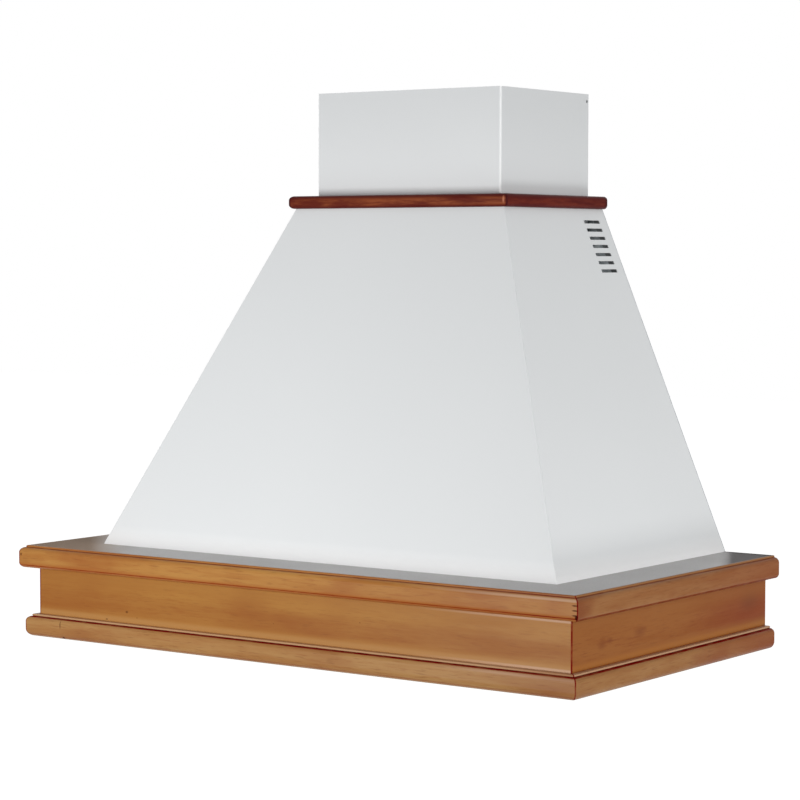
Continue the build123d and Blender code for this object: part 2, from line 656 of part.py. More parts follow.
def switch_box():
    """Housing of the switches, open towards the buttons."""
    half_x = 70.0
    half_y = 18.0
    wall = 2.0
    top = INTAKE_TOP + SWITCH_BOX_H
    shell = block(-half_x, half_x, CONTROL_Y - half_y, CONTROL_Y + half_y, INTAKE_TOP, top)
    return shell - block(-half_x + wall, half_x - wall, CONTROL_Y - half_y + wall,
                         CONTROL_Y + half_y - wall, INTAKE_TOP, top - wall)


def lamp_solids(side):
    """Lamp can above the intake panel, and the lens in its bezel below it."""
    spot = Pos(side * LAMP_X, CONTROL_Y, 0)
    lens_r = LAMP_R - 1.0
    lens_z = INTAKE_Z - 1.5
    bezel_z = INTAKE_Z - 2.5
    can = Pos(0, 0, INTAKE_Z) * extrude(Circle(LAMP_R), amount=35.0)
    can = fillet(can.faces().sort_by(Axis.Z)[-1].edges(), 6.0)
    can -= Pos(0, 0, INTAKE_Z) * extrude(Circle(LAMP_R - SHEET), amount=27.0)
    can += Pos(0, 0, INTAKE_TOP) * extrude(Circle(LAMP_R + 3.0) - Circle(LAMP_R), amount=1.0)
    lens = Pos(0, 0, lens_z) * extrude(Circle(lens_r), amount=INTAKE_Z - lens_z)
    bezel = Pos(0, 0, bezel_z) * extrude(Circle(LAMP_R + 6.0), amount=INTAKE_Z - bezel_z)
    bezel = fillet(bezel.faces().sort_by(Axis.Z)[0].edges(), 1.5)
    bezel -= Pos(0, 0, bezel_z) * extrude(Circle(lens_r - 3.0), amount=INTAKE_Z - bezel_z)
    bezel -= lens
    return {"lamp_housing": spot * can, "lamp_lens": spot * lens, "lamp_bezel": spot * bezel}


# ------------------------------------------------------------------ blower
def scroll_face(inset):
    """Side view of the scroll: three tangent quarter arcs that grow into an upright outlet."""
    radii = [SCROLL_R + SCROLL_STEP * turn - inset for turn in range(3)]
    front = OUTLET_FRONT + inset
    rear = OUTLET_REAR - inset
    tongue = sqrt(radii[0] ** 2 - front ** 2)
    diagonal = sqrt(0.5)
    step = SCROLL_STEP
    tongue_mid = (-radii[0] * diagonal, radii[0] * diagonal)
    outline = [
        Line((front, OUTLET_TOP), (front, tongue)),
        ThreePointArc((front, tongue), tongue_mid, (-radii[0], 0)),
        ThreePointArc((-radii[0], 0), (step - radii[1] * diagonal, -radii[1] * diagonal),
                      (step, -radii[1])),
        ThreePointArc((step, -radii[1]), (step + radii[2] * diagonal, step - radii[2] * diagonal),
                      (step + radii[2], step)),
        Polyline((rear, step), (rear, OUTLET_TOP), (front, OUTLET_TOP)),
    ]
    side_view = Plane(origin=(0, AXIS_Y, AXIS_Z), x_dir=(0, 1, 0), z_dir=(1, 0, 0))
    return side_view * make_face(outline)


def scroll_half(side_name):
    """One half of the scroll housing, with its inlet hole and half of the outlet flange."""
    side = SIDES[side_name]
    half = extrude(scroll_face(0.0), amount=SCROLL_HALF)
    half -= extrude(scroll_face(SCROLL_T), amount=SCROLL_HALF - SCROLL_T)
    half -= rod(INLET_R, (0, AXIS_Y, AXIS_Z), (2 * SCROLL_HALF, AXIS_Y, AXIS_Z))
    flange = block(0, SCROLL_HALF + OUTLET_FLANGE, AXIS_Y + OUTLET_FRONT - OUTLET_FLANGE,
                   AXIS_Y + OUTLET_REAR + OUTLET_FLANGE, COLLAR_Z - SCROLL_T, COLLAR_Z)
    flange -= block(0, SCROLL_HALF - SCROLL_T, AXIS_Y + OUTLET_FRONT + SCROLL_T,
                    AXIS_Y + OUTLET_REAR - SCROLL_T, 0, HEIGHT)
    half = placed(half + flange, side)
    half = body.cut(half, BLOWER_SCREWS[side_name], COLLAR_SCREWS)
    return body.cut(half, SPIDER_SCREWS) if side < 0 else half


def impeller():
    """Double-inlet drum wheel: hub, middle disc, two rings and two rows of blades."""
    side_view = Plane(origin=(0, AXIS_Y, AXIS_Z), x_dir=(0, 1, 0), z_dir=(1, 0, 0))
    disc_t = 2.0
    ring_w = 3.0
    blade_t = 0.8
    blade_mid = (INLET_R + WHEEL_R) / 2
    blade_w = WHEEL_R - INLET_R - 1.0
    wheel = extrude(side_view * Circle(WHEEL_R), amount=disc_t / 2, both=True)
    ring = extrude(side_view * (Circle(WHEEL_R) - Circle(INLET_R + 1.0)), amount=ring_w)
    blades = Sketch()
    for number in range(BLADES):
        angle = 360.0 * number / BLADES
        blades += Rot(0, 0, angle) * Pos(blade_mid, 0) * Rot(0, 0, 30) * Rectangle(blade_w, blade_t)
    row = extrude(side_view * blades, amount=WHEEL_HALF)
    right_side = row + Pos(WHEEL_HALF - ring_w, 0, 0) * ring
    wheel = wheel + right_side + flipped(right_side)
    wheel += rod(12.0, (-6, AXIS_Y, AXIS_Z), (14, AXIS_Y, AXIS_Z))
    return wheel - rod(SHAFT_R, (-20, AXIS_Y, AXIS_Z), (20, AXIS_Y, AXIS_Z))


def motor_solids():
    """Motor can, its shaft, and the spider that hangs it in the left inlet."""
    inner_end = -10.0
    can = rod(MOTOR_R, (-SCROLL_HALF, AXIS_Y, AXIS_Z), (inner_end, AXIS_Y, AXIS_Z))
    can = fillet(can.faces().sort_by(Axis.X)[-1].edges(), 5.0)
    can -= rod(SHAFT_R + SHAFT_FIT, (-62, AXIS_Y, AXIS_Z), (0, AXIS_Y, AXIS_Z))
    shaft = rod(SHAFT_R, (-60, AXIS_Y, AXIS_Z), (14, AXIS_Y, AXIS_Z))
    side_view = Plane(origin=(-SCROLL_HALF, AXIS_Y, AXIS_Z), x_dir=(0, 1, 0), z_dir=(-1, 0, 0))
    arms = Circle(30.0)
    for angle in SPIDER_ANGLES:
        arms += Rot(0, 0, -angle) * Pos(SPIDER_BOLT_R / 2, 0) * Rectangle(SPIDER_BOLT_R, 14.0)
        arms += Rot(0, 0, -angle) * Pos(SPIDER_BOLT_R, 0) * Circle(9.0)
    spider = extrude(side_view * arms, amount=SPIDER_T)
    return {"motor_body": can, "motor_shaft": shaft, "motor_spider": body.cut(spider, SPIDER_SCREWS)}


def blower_bracket(side_name):
    """Bent plate that hangs one side of the scroll from the back panel."""
    side = SIDES[side_name]
    low, high = BRACKET_ZS
    arm = block(BRACKET_X, BRACKET_X + SHEET, GROMMET_Y - 14.0, -PANEL_T, low, high)
    arm += block(BRACKET_X, BRACKET_X + BRACKET_FLANGE, RIVET_Y, -PANEL_T, low, high)
    arm = body.cut(placed(arm, side), BLOWER_SCREWS[side_name])
    return rivets.cut(arm, BRACKET_RIVETS[side_name])


def mount_grommets():
    """Four rubber washers between the brackets and the scroll."""
    washers = []
    for side_name, side in SIDES.items():
        for z in GROMMET_ZS:
            washer = rod(8.0, (side * SCROLL_HALF, GROMMET_Y, z), (side * BRACKET_X, GROMMET_Y, z))
            washers.append(body.cut(washer, BLOWER_SCREWS[side_name]).solid())
    return Compound(washers)


# ------------------------------------------------------------------ duct collar and flaps
def duct_collar():
    """Round spigot on a square plate, with the pin's holes and a stop under each flap."""
    plate = block(-SCROLL_HALF - OUTLET_FLANGE, SCROLL_HALF + OUTLET_FLANGE,
                  AXIS_Y + OUTLET_FRONT - OUTLET_FLANGE, AXIS_Y + OUTLET_REAR + OUTLET_FLANGE,
                  COLLAR_Z, COLLAR_Z + COLLAR_PLATE)
    collar = plate + rod(COLLAR_R, (0, COLLAR_Y, COLLAR_Z), (0, COLLAR_Y, COLLAR_Z + COLLAR_H))
    inner_r = COLLAR_R - COLLAR_T
    collar -= rod(inner_r, (0, COLLAR_Y, COLLAR_Z), (0, COLLAR_Y, COLLAR_Z + COLLAR_H))
    for way in (-1, 1):
        ends = sorted((COLLAR_Y + way * (inner_r - 3.0), COLLAR_Y + way * (inner_r + 0.5)))
        collar += block(-4.0, 4.0, *ends, PIN_Z - 3.5, PIN_Z - 1.0)
    collar -= flap_pin()
    return body.cut(collar, COLLAR_SCREWS)


def flap_pin():
    reach = COLLAR_R - 0.1
    return rod(PIN_R, (-reach, COLLAR_Y, PIN_Z), (reach, COLLAR_Y, PIN_Z))


def flap(way):
    """Half-round flap on the pin: way -1 is the front one, 1 the rear one."""
    knuckle_r = 3.0
    plate_start = knuckle_r + 0.6
    plate_r = COLLAR_R - COLLAR_T - FLAP_GAP
    knuckle_w = 31.0
    disc = Pos(0, 0, -FLAP_T / 2) * extrude(Circle(plate_r), amount=FLAP_T)
    half = disc & block(-plate_r, plate_r, plate_start, plate_r, -FLAP_T, FLAP_T)
    for middle in (-17.0 * way + 34.0, -17.0 * way - 34.0):
        half += rod(knuckle_r, (middle - knuckle_w / 2, 0, 0), (middle + knuckle_w / 2, 0, 0))
        half += block(middle - knuckle_w / 2, middle + knuckle_w / 2, 0, plate_start + 1.0,
                      -FLAP_T / 2, FLAP_T / 2)
    half -= rod(PIN_R + SHAFT_FIT, (-COLLAR_R, 0, 0), (COLLAR_R, 0, 0))
    turned = half if way > 0 else mirror(half, about=Plane.XZ)
    return Pos(0, COLLAR_Y, PIN_Z) * turned


# ------------------------------------------------------------------ electrics
def capacitor():
    return rod(CAPACITOR_R, (TERMINAL_X0 + 18.0, CAPACITOR_Y, CAPACITOR_Z),
               (TERMINAL_X0 + 78.0, CAPACITOR_Y, CAPACITOR_Z))


def terminal_box():
    """Mains terminal box with a saddle for the motor capacitor, open towards its lid."""
    front = -PANEL_T - TERMINAL_DEPTH
    shell = block(TERMINAL_X0, TERMINAL_X1, front, -PANEL_T, TERMINAL_Z0, TERMINAL_Z1)
    shell -= block(TERMINAL_X0 + SCROLL_T, TERMINAL_X1 - SCROLL_T, front, RIVET_Y,
                   TERMINAL_Z0 + SCROLL_T, TERMINAL_Z1 - SCROLL_T)
    saddle = block(TERMINAL_X0 + 30.0, TERMINAL_X0 + 60.0, CAPACITOR_Y + 4.0, RIVET_Y,
                   CAPACITOR_Z - CAPACITOR_R - 2.0, CAPACITOR_Z + CAPACITOR_R + 2.0)
    shell = shell + saddle - capacitor()
    return rivets.cut(shell, TERMINAL_RIVETS)


def terminal_lid():
    front = -PANEL_T - TERMINAL_DEPTH
    lid = block(TERMINAL_X0, TERMINAL_X1, front - SCROLL_T, front, TERMINAL_Z0, TERMINAL_Z1)
    rim = lid.faces().sort_by(Axis.Y)[0].edges()
    return fillet(rim, 1.0)


def wiring_harness():
    """Sleeved cable from the terminal box round the inside of the chassis to the switches."""
    rear_y = -CHASSIS_REAR - SHEET - FLANGE_W - 4.8
    side_x = CHASSIS_IN_X - 8.0
    front_y = -CHASSIS_IN_Y + 7.0
    box_x = TERMINAL_X0 + 50.0
    switch_x = 50.0
    route = [
        (box_x, rear_y, TERMINAL_Z0),
        (box_x, rear_y, CABLE_Z),
        (side_x, rear_y, CABLE_Z),
        (side_x, front_y, CABLE_Z),
        (switch_x, front_y, CABLE_Z),
        (switch_x, CONTROL_Y, CABLE_Z),
        (switch_x, CONTROL_Y, INTAKE_TOP + SWITCH_BOX_H),
    ]
    last_bend = CABLE_BEND * 0.9
    bends = [CABLE_BEND] * 4 + [last_bend]
    path = FilletPolyline(*route, radius=bends)
    start = Plane(origin=route[0], z_dir=(0, 0, -1))
    return sweep(start * Circle(CABLE_R), path=path)


# ------------------------------------------------------------------ assembly
def all_pieces():
    pieces = wooden_frame()
    pieces["shelf_plate"] = shelf_plate()
    pieces["chassis_frame"] = chassis_frame()
    pieces["canopy_shell"] = canopy_shell()
    pieces["back_panel"] = back_panel()
    pieces["chimney_sleeve"] = chimney_sleeve()
    pieces["sleeve_stops"] = sleeve_stops()
    pieces["intake_panel"] = intake_panel()
    pieces["control_bezel"] = control_bezel()
    pieces["switch_box"] = switch_box()
    names = ("button_light", "button_off", "button_speed_1", "button_speed_2", "button_speed_3")
    for number, name in enumerate(names, start=-2):
        pieces[name] = push_button(number)
    for side_name, side in SIDES.items():
        pieces["filter_frame_" + side_name] = filter_frame(side)
        pieces["filter_mesh_" + side_name] = filter_mesh(side)
        pieces["filter_latch_" + side_name] = filter_latch(side)
        for name, solid in lamp_solids(side).items():
            pieces[name + "_" + side_name] = solid
        pieces["scroll_" + side_name + "_half"] = scroll_half(side_name)
        pieces["blower_bracket_" + side_name] = blower_bracket(side_name)
    pieces["impeller"] = impeller()
    pieces.update(motor_solids())
    pieces["mount_grommets"] = mount_grommets()
    pieces["duct_collar"] = duct_collar()
    pieces["flap_pin"] = flap_pin()
    pieces["flap_front"] = flap(-1)
    pieces["flap_rear"] = flap(1)
    pieces["terminal_box"] = terminal_box()
    pieces["terminal_lid"] = terminal_lid()
    pieces["capacitor"] = capacitor()
    pieces["wiring_harness"] = wiring_harness()
    pieces["body_screws"] = body.group()
    pieces["frame_screws"] = wood.group()
    pieces["back_rivets"] = rivets.group()
    return pieces


os.makedirs("parts", exist_ok=True)
for piece_name, piece in all_pieces().items():
    solids = [Pos(0, 0, -HANG_Z) * solid for solid in piece.solids()]
    export_step(solids[0] if len(solids) == 1 else Compound(solids), "parts/" + piece_name + ".step")
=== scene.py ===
import math

import bpy
from mathutils import Matrix, Vector


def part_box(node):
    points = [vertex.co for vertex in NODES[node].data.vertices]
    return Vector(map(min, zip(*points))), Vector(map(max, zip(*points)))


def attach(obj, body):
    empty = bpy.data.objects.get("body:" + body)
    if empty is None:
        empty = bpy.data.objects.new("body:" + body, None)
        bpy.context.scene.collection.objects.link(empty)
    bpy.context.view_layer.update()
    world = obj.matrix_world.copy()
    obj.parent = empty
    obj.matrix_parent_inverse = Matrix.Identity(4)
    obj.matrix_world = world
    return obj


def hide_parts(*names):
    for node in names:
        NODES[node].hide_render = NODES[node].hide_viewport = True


# The looks of a 90 cm wall hood: white sheet-steel pyramid and chimney, dark neck trim, grey
# shelf and a honey-brown moulded wooden frame, with the metal, plastic and glass of its inside.
# Everything is in metres, in the frame's own axes: +X right, +Y into the wall, +Z up.

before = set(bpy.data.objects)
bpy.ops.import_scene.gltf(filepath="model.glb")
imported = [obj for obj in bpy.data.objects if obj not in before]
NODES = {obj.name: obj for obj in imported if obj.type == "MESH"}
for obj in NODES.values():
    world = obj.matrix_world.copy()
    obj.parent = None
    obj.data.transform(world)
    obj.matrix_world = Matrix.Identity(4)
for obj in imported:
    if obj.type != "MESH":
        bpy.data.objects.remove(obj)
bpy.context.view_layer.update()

MM = 0.001
SIDES = {"left": -1, "right": 1}


def srgb(red, green, blue):
    """Linear colour of an 8-bit screen colour."""
    def linear(level):
        level = level / 255.0
        return level / 12.92 if level <= 0.04045 else ((level + 0.055) / 1.055) ** 2.4

    return (linear(red), linear(green), linear(blue))


# ------------------------------------------------------------------ places read from the model
FRAME_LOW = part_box("base_moulding_front")[0][2]
BASE_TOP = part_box("base_moulding_front")[1][2]
CORNICE_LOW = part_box("cornice_front")[0][2]
FRAME_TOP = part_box("cornice_front")[1][2]
CORNICE_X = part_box("cornice_right")[1][0]
CORNICE_Y = -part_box("cornice_front")[0][1]
BASE_Y = -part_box("base_moulding_front")[0][1]
FRIEZE_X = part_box("frieze_board_right")[1][0]
FRIEZE_Y = -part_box("frieze_board_front")[0][1]
TRIM_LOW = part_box("neck_trim_front")[0][2]
TRIM_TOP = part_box("neck_trim_front")[1][2]
TRIM_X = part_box("neck_trim_right")[1][0]
TRIM_Y = -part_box("neck_trim_front")[0][1]
CANOPY_FOOT_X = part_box("canopy_shell")[1][0]
CANOPY_FOOT_Y = -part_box("canopy_shell")[0][1]
CANOPY_NECK_X = 172.5 * MM  # half width of the canopy where the trim sits
CANOPY_NECK_Y = 247.0 * MM  # depth there
SLEEVE_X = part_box("chimney_sleeve")[1][0]
SLEEVE_Y = -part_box("chimney_sleeve")[0][1]
SLEEVE_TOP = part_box("chimney_sleeve")[1][2]

# ------------------------------------------------------------------ camera and stage
PHOTO_PX = 800
SENSOR_MM = 36.0
FAR_CLIP = 80.0
CAMERA_PLACE = (2.014, -3.0502, 0.1972)
CAMERA_YAW = 35.624
CAMERA_PITCH = -3.286
CAMERA_ROLL = 0.085
CAMERA_FOCAL_PX = 2559.0

WORLD_LEVEL = 0.33
FLOOR_DROP = 1.60
FLOOR_Z = FRAME_LOW - FLOOR_DROP
FLOOR_SIZE = 60.0
FLOOR_GREY = 0.80
FLOOR_LIFT = 0.80

# Softboxes: place, target, size in metres, watts.
SOFTBOXES = {
    "front_softbox": ((-0.4, -2.2, -0.2), (0.0, -0.4, 0.0), (0.9, 0.9), 24.4),
    "side_softbox": ((3.4, -0.6, 0.5), (0.2, -0.2, 0.0), (1.5, 1.5), 35.0),
    "low_side_softbox": ((1.6, -0.3, -0.6), (0.3, -0.25, -0.1), (0.5, 0.5), 5.6),
}

# A faint light on each side that faces the sleeve behind the vents, so that they read as grey.
VENT_FILL_PLACE = (SLEEVE_X + 24.0 * MM, -75.0 * MM, TRIM_LOW - 60.0 * MM)
VENT_FILL_SIZE = (0.09, 0.10)
VENT_FILL_WATTS = 0.020


def make_camera():
    """The photograph's viewpoint: yaw to the left of +Y, pitch up, roll about the view."""
    data = bpy.data.cameras.new("photo_camera")
    data.sensor_width = SENSOR_MM
    data.lens = CAMERA_FOCAL_PX / PHOTO_PX * SENSOR_MM
    data.clip_end = FAR_CLIP
    camera = bpy.data.objects.new("photo_camera", data)
    turn = Matrix.Rotation(math.radians(CAMERA_YAW), 4, "Z")
    tilt = Matrix.Rotation(math.radians(90.0 + CAMERA_PITCH), 4, "X")
    roll = Matrix.Rotation(math.radians(CAMERA_ROLL), 4, "Z")
    camera.matrix_world = Matrix.Translation(CAMERA_PLACE) @ turn @ tilt @ roll
    bpy.context.scene.collection.objects.link(camera)
    bpy.context.scene.camera = camera


def seen_directly(tree):
    """1 for rays that should see the plain white background, 0 for the rays that light things."""
    path = tree.nodes.new("ShaderNodeLightPath")
    seen = path.outputs["Is Camera Ray"]
    for name in ("Is Glossy Ray", "Is Transmission Ray"):
        either = tree.nodes.new("ShaderNodeMath")
        either.operation = "MAXIMUM"
        tree.links.new(seen, either.inputs[0])
        tree.links.new(path.outputs[name], either.inputs[1])
        seen = either.outputs[0]
    return seen


def make_world():
    world = bpy.data.worlds.new("studio")
    bpy.context.scene.world = world
    world.use_nodes = True
    tree = world.node_tree
    tree.nodes.clear()
    output = tree.nodes.new("ShaderNodeOutputWorld")
    light = tree.nodes.new("ShaderNodeBackground")
    light.inputs["Color"].default_value = (1.0, 1.0, 1.0, 1.0)
    light.inputs["Strength"].default_value = WORLD_LEVEL
    white = tree.nodes.new("ShaderNodeBackground")
    white.inputs["Color"].default_value = (1.0, 1.0, 1.0, 1.0)
    white.inputs["Strength"].default_value = 1.0
    mix = tree.nodes.new("ShaderNodeMixShader")
    tree.links.new(seen_directly(tree), mix.inputs[0])
    tree.links.new(light.outputs[0], mix.inputs[1])
    tree.links.new(white.outputs[0], mix.inputs[2])
    tree.links.new(mix.outputs[0], output.inputs[0])


def floor_material():
    """Pale floor that takes the shadow, lifted to white for the eye, and clear from below."""
    material = bpy.data.materials.new("pale_floor")
    material.use_nodes = True
    tree = material.node_tree
    tree.nodes.clear()
    output = tree.nodes.new("ShaderNodeOutputMaterial")
    pale = tree.nodes.new("ShaderNodeBsdfDiffuse")
    pale.inputs["Color"].default_value = (FLOOR_GREY, FLOOR_GREY, FLOOR_GREY, 1.0)
    lift = tree.nodes.new("ShaderNodeEmission")
    strength = tree.nodes.new("ShaderNodeMath")
    strength.operation = "MULTIPLY"
    strength.inputs[1].default_value = FLOOR_LIFT
    tree.links.new(seen_directly(tree), strength.inputs[0])
    tree.links.new(strength.outputs[0], lift.inputs["Strength"])
    lit = tree.nodes.new("ShaderNodeAddShader")
    tree.links.new(pale.outputs[0], lit.inputs[0])
    tree.links.new(lift.outputs[0], lit.inputs[1])
    clear = tree.nodes.new("ShaderNodeBsdfTransparent")
    geometry = tree.nodes.new("ShaderNodeNewGeometry")
    sided = tree.nodes.new("ShaderNodeMixShader")
    tree.links.new(geometry.outputs["Backfacing"], sided.inputs[0])
    tree.links.new(lit.outputs[0], sided.inputs[1])
    tree.links.new(clear.outputs[0], sided.inputs[2])
    tree.links.new(sided.outputs[0], output.inputs[0])
    return material


def make_floor():
    """Plain floor as far below the hood as the floor of a kitchen."""
    mesh = bpy.data.meshes.new("floor")
    half = FLOOR_SIZE / 2
    corners = [(x, y, FLOOR_Z) for x, y in ((-half, -half), (half, -half), (half, half), (-half, half))]
    mesh.from_pydata(corners, [], [(0, 1, 2, 3)])
    mesh.materials.append(floor_material())
    floor = bpy.data.objects.new("floor", mesh)
    bpy.context.scene.collection.objects.link(floor)


def make_softbox(name, place, target, size, watts):
    data = bpy.data.lights.new(name, "AREA")
    data.shape = "RECTANGLE"
    data.size = size[0]
    data.size_y = size[1]
    data.energy = watts
    light = bpy.data.objects.new(name, data)
    way = Vector(target) - Vector(place)
    light.matrix_world = Matrix.Translation(place) @ way.to_track_quat("-Z", "Y").to_matrix().to_4x4()
    bpy.context.scene.collection.objects.link(light)
    return light


def make_lights():
    for name, (place, target, size, watts) in SOFTBOXES.items():
        make_softbox(name, place, target, size, watts)
    x, y, z = VENT_FILL_PLACE
    for side_name, side in SIDES.items():
        fill = make_softbox("vent_fill_" + side_name, (side * x, y, z), (0.0, y, z), VENT_FILL_SIZE,
                            VENT_FILL_WATTS)
        fill.visible_camera = False
        fill.visible_glossy = False


# ------------------------------------------------------------------ material graph
def along_grain(axis, across, lengthwise=1.0):
    """Stretch for a texture whose figures are long on one axis and fine across it."""
    return tuple(lengthwise if name == axis else across for name in "xyz")


class Graph:
    """One material, with short calls for the nodes that the finishes below are made of."""

    def __init__(self, name, **surface):
        self.material = bpy.data.materials.new(name)
        self.material.use_nodes = True
        self.tree = self.material.node_tree
        self.tree.nodes.clear()
        output = self.tree.nodes.new("ShaderNodeOutputMaterial")
        self.shader = self.tree.nodes.new("ShaderNodeBsdfPrincipled")
        self.tree.links.new(self.shader.outputs[0], output.inputs["Surface"])
        self.place = self.tree.nodes.new("ShaderNodeTexCoord").outputs["Object"]
        for socket_name, value in surface.items():
            self.feed(self.shader.inputs[socket_name.replace("_", " ")], value)

    def feed(self, socket, value):
        if isinstance(value, bpy.types.NodeSocket):
            self.tree.links.new(value, socket)
        elif isinstance(value, tuple) and socket.type == "RGBA":
            socket.default_value = (*value, 1.0)
        else:
            socket.default_value = value

    def vector(self, operation, first, second):
        node = self.tree.nodes.new("ShaderNodeVectorMath")
        node.operation = operation
        self.feed(node.inputs[0], first)
        self.feed(node.inputs[1], second)
        return node

    def stretched(self, x, y, z):
        """The place in metres, multiplied along each axis."""
        return self.vector("MULTIPLY", self.place, (x, y, z)).outputs[0]

    def noise(self, scale, vector=None, detail=3.0, roughness=0.5, offset=0.0):
        node = self.tree.nodes.new("ShaderNodeTexNoise")
        place = vector or self.place
        if offset:
            place = self.vector("ADD", place, (offset, offset, offset)).outputs[0]
        self.feed(node.inputs["Vector"], place)
        node.inputs["Scale"].default_value = scale
        node.inputs["Detail"].default_value = detail
        node.inputs["Roughness"].default_value = roughness
        return node.outputs["Fac"]

    def cells(self, scale, output="Distance"):
        node = self.tree.nodes.new("ShaderNodeTexVoronoi")
        self.feed(node.inputs["Vector"], self.place)
        node.inputs["Scale"].default_value = scale
        return node.outputs[output]

    def axis(self, name):
        node = self.tree.nodes.new("ShaderNodeSeparateXYZ")
        self.feed(node.inputs[0], self.place)
        return node.outputs[name]

    def maths(self, operation, first, second=0.0, third=0.0):
        """One step of arithmetic."""
        node = self.tree.nodes.new("ShaderNodeMath")
        node.operation = operation
        self.feed(node.inputs[0], first)
        self.feed(node.inputs[1], second)
        self.feed(node.inputs[2], third)
        return node.outputs[0]

    def ramp(self, value, low, high, to_low=0.0, to_high=1.0):
        """Value moved smoothly from the range low..high to to_low..to_high, and held at the ends."""
        node = self.tree.nodes.new("ShaderNodeMapRange")
        node.interpolation_type = "SMOOTHSTEP"
        self.feed(node.inputs["Value"], value)
        node.inputs["From Min"].default_value = low
        node.inputs["From Max"].default_value = high
        node.inputs["To Min"].default_value = to_low
        node.inputs["To Max"].default_value = to_high
        return node.outputs["Result"]

    def mottle(self, scale, low=0.0, high=1.0):
        """Soft blotches of a value between low and high."""
        return self.ramp(self.noise(scale), 0.3, 0.7, low, high)

    def near(self, value, target, reach, soft):
        """1 where value is within reach of target, falling to 0 over soft."""
        away = self.maths("ABSOLUTE", self.maths("SUBTRACT", value, target))
        return self.ramp(away, reach, reach + soft, 1.0, 0.0)

    def spot(self, centre, size, soft):
        """1 inside an ellipsoid of half-sizes size about centre, falling to 0 over soft of its size."""
        away = self.vector("SUBTRACT", self.place, centre).outputs[0]
        scaled = self.vector("DIVIDE", away, size).outputs[0]
        length = self.vector("LENGTH", scaled, (0.0, 0.0, 0.0)).outputs["Value"]
        return self.ramp(length, 1.0 - soft, 1.0, 1.0, 0.0)

    def mix(self, share, first, second):
        """The first colour, turned into the second as share goes from 0 to 1."""
        node = self.tree.nodes.new("ShaderNodeMix")
        node.data_type = "RGBA"
        colours = [s for s in node.inputs if s.type == "RGBA"]
        self.feed(node.inputs[0], share)
        self.feed(colours[0], first)
        self.feed(colours[1], second)
        return [s for s in node.outputs if s.type == "RGBA"][0]

    def colour(self, value):
        self.feed(self.shader.inputs["Base Color"], value)

    def rough(self, value):
        self.feed(self.shader.inputs["Roughness"], value)

    def bump(self, height, distance, strength=1.0, under=None):
        node = self.tree.nodes.new("ShaderNodeBump")
        node.inputs["Strength"].default_value = strength
        node.inputs["Distance"].default_value = distance
        self.feed(node.inputs["Height"], height)
        if under is not None:
            self.feed(node.inputs["Normal"], under)
        return node.outputs["Normal"]

    def normal(self, value):
        self.feed(self.shader.inputs["Normal"], value)


# ------------------------------------------------------------------ stained wood
GLAZE = srgb(118, 16, 10)
GLAZE_CRIMSON = srgb(124, 18, 14)
# Brown of the glaze lines, and of the painted shade under the side cornices.
GLAZE_AND_SHADE_BROWN = srgb(120, 52, 26)
GLAZE_ORANGE = srgb(136, 54, 20)
WEAR_DARK = srgb(58, 10, 10)
FLECK = srgb(104, 54, 24)
# Pale pink of the painted highlights on rounded edges and on the bead.
HIGHLIGHT_PALE = srgb(206, 172, 146)
REAR_RED = srgb(124, 48, 14)
KNOT_BROWN = srgb(114, 56, 24)
CORNICE_FOOT = srgb(156, 82, 30)
# Pale gold painted as a highlight at the foot of the front frieze board.
FRIEZE_FOOT_HIGHLIGHT = srgb(176, 128, 74)
FRIEZE_FOOT_SIDE = srgb(156, 98, 42)

# Figures in each metre of wood, before the stretch along the grain.
CLOUD_SCALE = 9.0
STREAK_SCALE = 6.5
FIBRE_SCALE = 30.0
FLECK_SCALE = 70.0
RED_SCALE = 6.0
PALE_SCALE = 8.0
WANDER_SCALE = 55.0
GRAIN_ACROSS = 12.0
CLOUD_SHARE = 0.45

# Middle tone of each moulding on the front and on the sides.
FRONT_BODY = {
    "base_moulding": srgb(157, 109, 61), "frieze_board": srgb(156, 100, 42), "cornice": srgb(165, 109, 51),
}
SIDE_BODY = {
    "base_moulding": srgb(143, 96, 54), "frieze_board": srgb(134, 76, 31), "cornice": srgb(137, 86, 46),
}
GOLD_TONE = (1.18, 1.38, 1.60)
REDDER = (0.80, 0.60, 0.58)
FRONT_SHINE = 0.12
SIDE_SHINE = 0.05
FLECK_SHARE = {"base_moulding": 0.30, "frieze_board": 0.28, "cornice": 0.25}

# Heights and widths of the lines of glaze, and the stretches over which the wood changes.
QUIRK_Z = FRAME_TOP - 2.6 * MM
BEAD_FOOT_Z = BASE_TOP - 3.0 * MM
FOOT_LINE = 3.9 * MM
LINE_SOFT = 0.45 * MM
MITRE_SOFT = 0.6 * MM
GOLD_BAND_Z = BASE_TOP + 5.0 * MM
MITRE_HALF = {"base_moulding": 0.9 * MM, "frieze_board": 1.3 * MM, "cornice": 0.9 * MM}
NEAR_CORNER = 0.12
# Reach of the painted edge highlights from the right front corner.
HIGHLIGHT_REACH = (0.03, 0.26)
DARKER_REAR = (-0.26, -0.02)
REAR_SHARE = {"base_moulding": 0.5, "frieze_board": 0.72, "cornice": 0.4}
DARKER_LEFT = (-0.42, -0.20)

# On the front (True) and the sides (False): where redder clouds begin and end in their noise, with
# their strength, and the strength of the paler clouds.
RED_CLOUDS = {True: (0.46, 0.68, 0.80), False: (0.45, 0.60, 1.0)}
PALE_CLOUDS = {True: 0.12, False: 0.75}


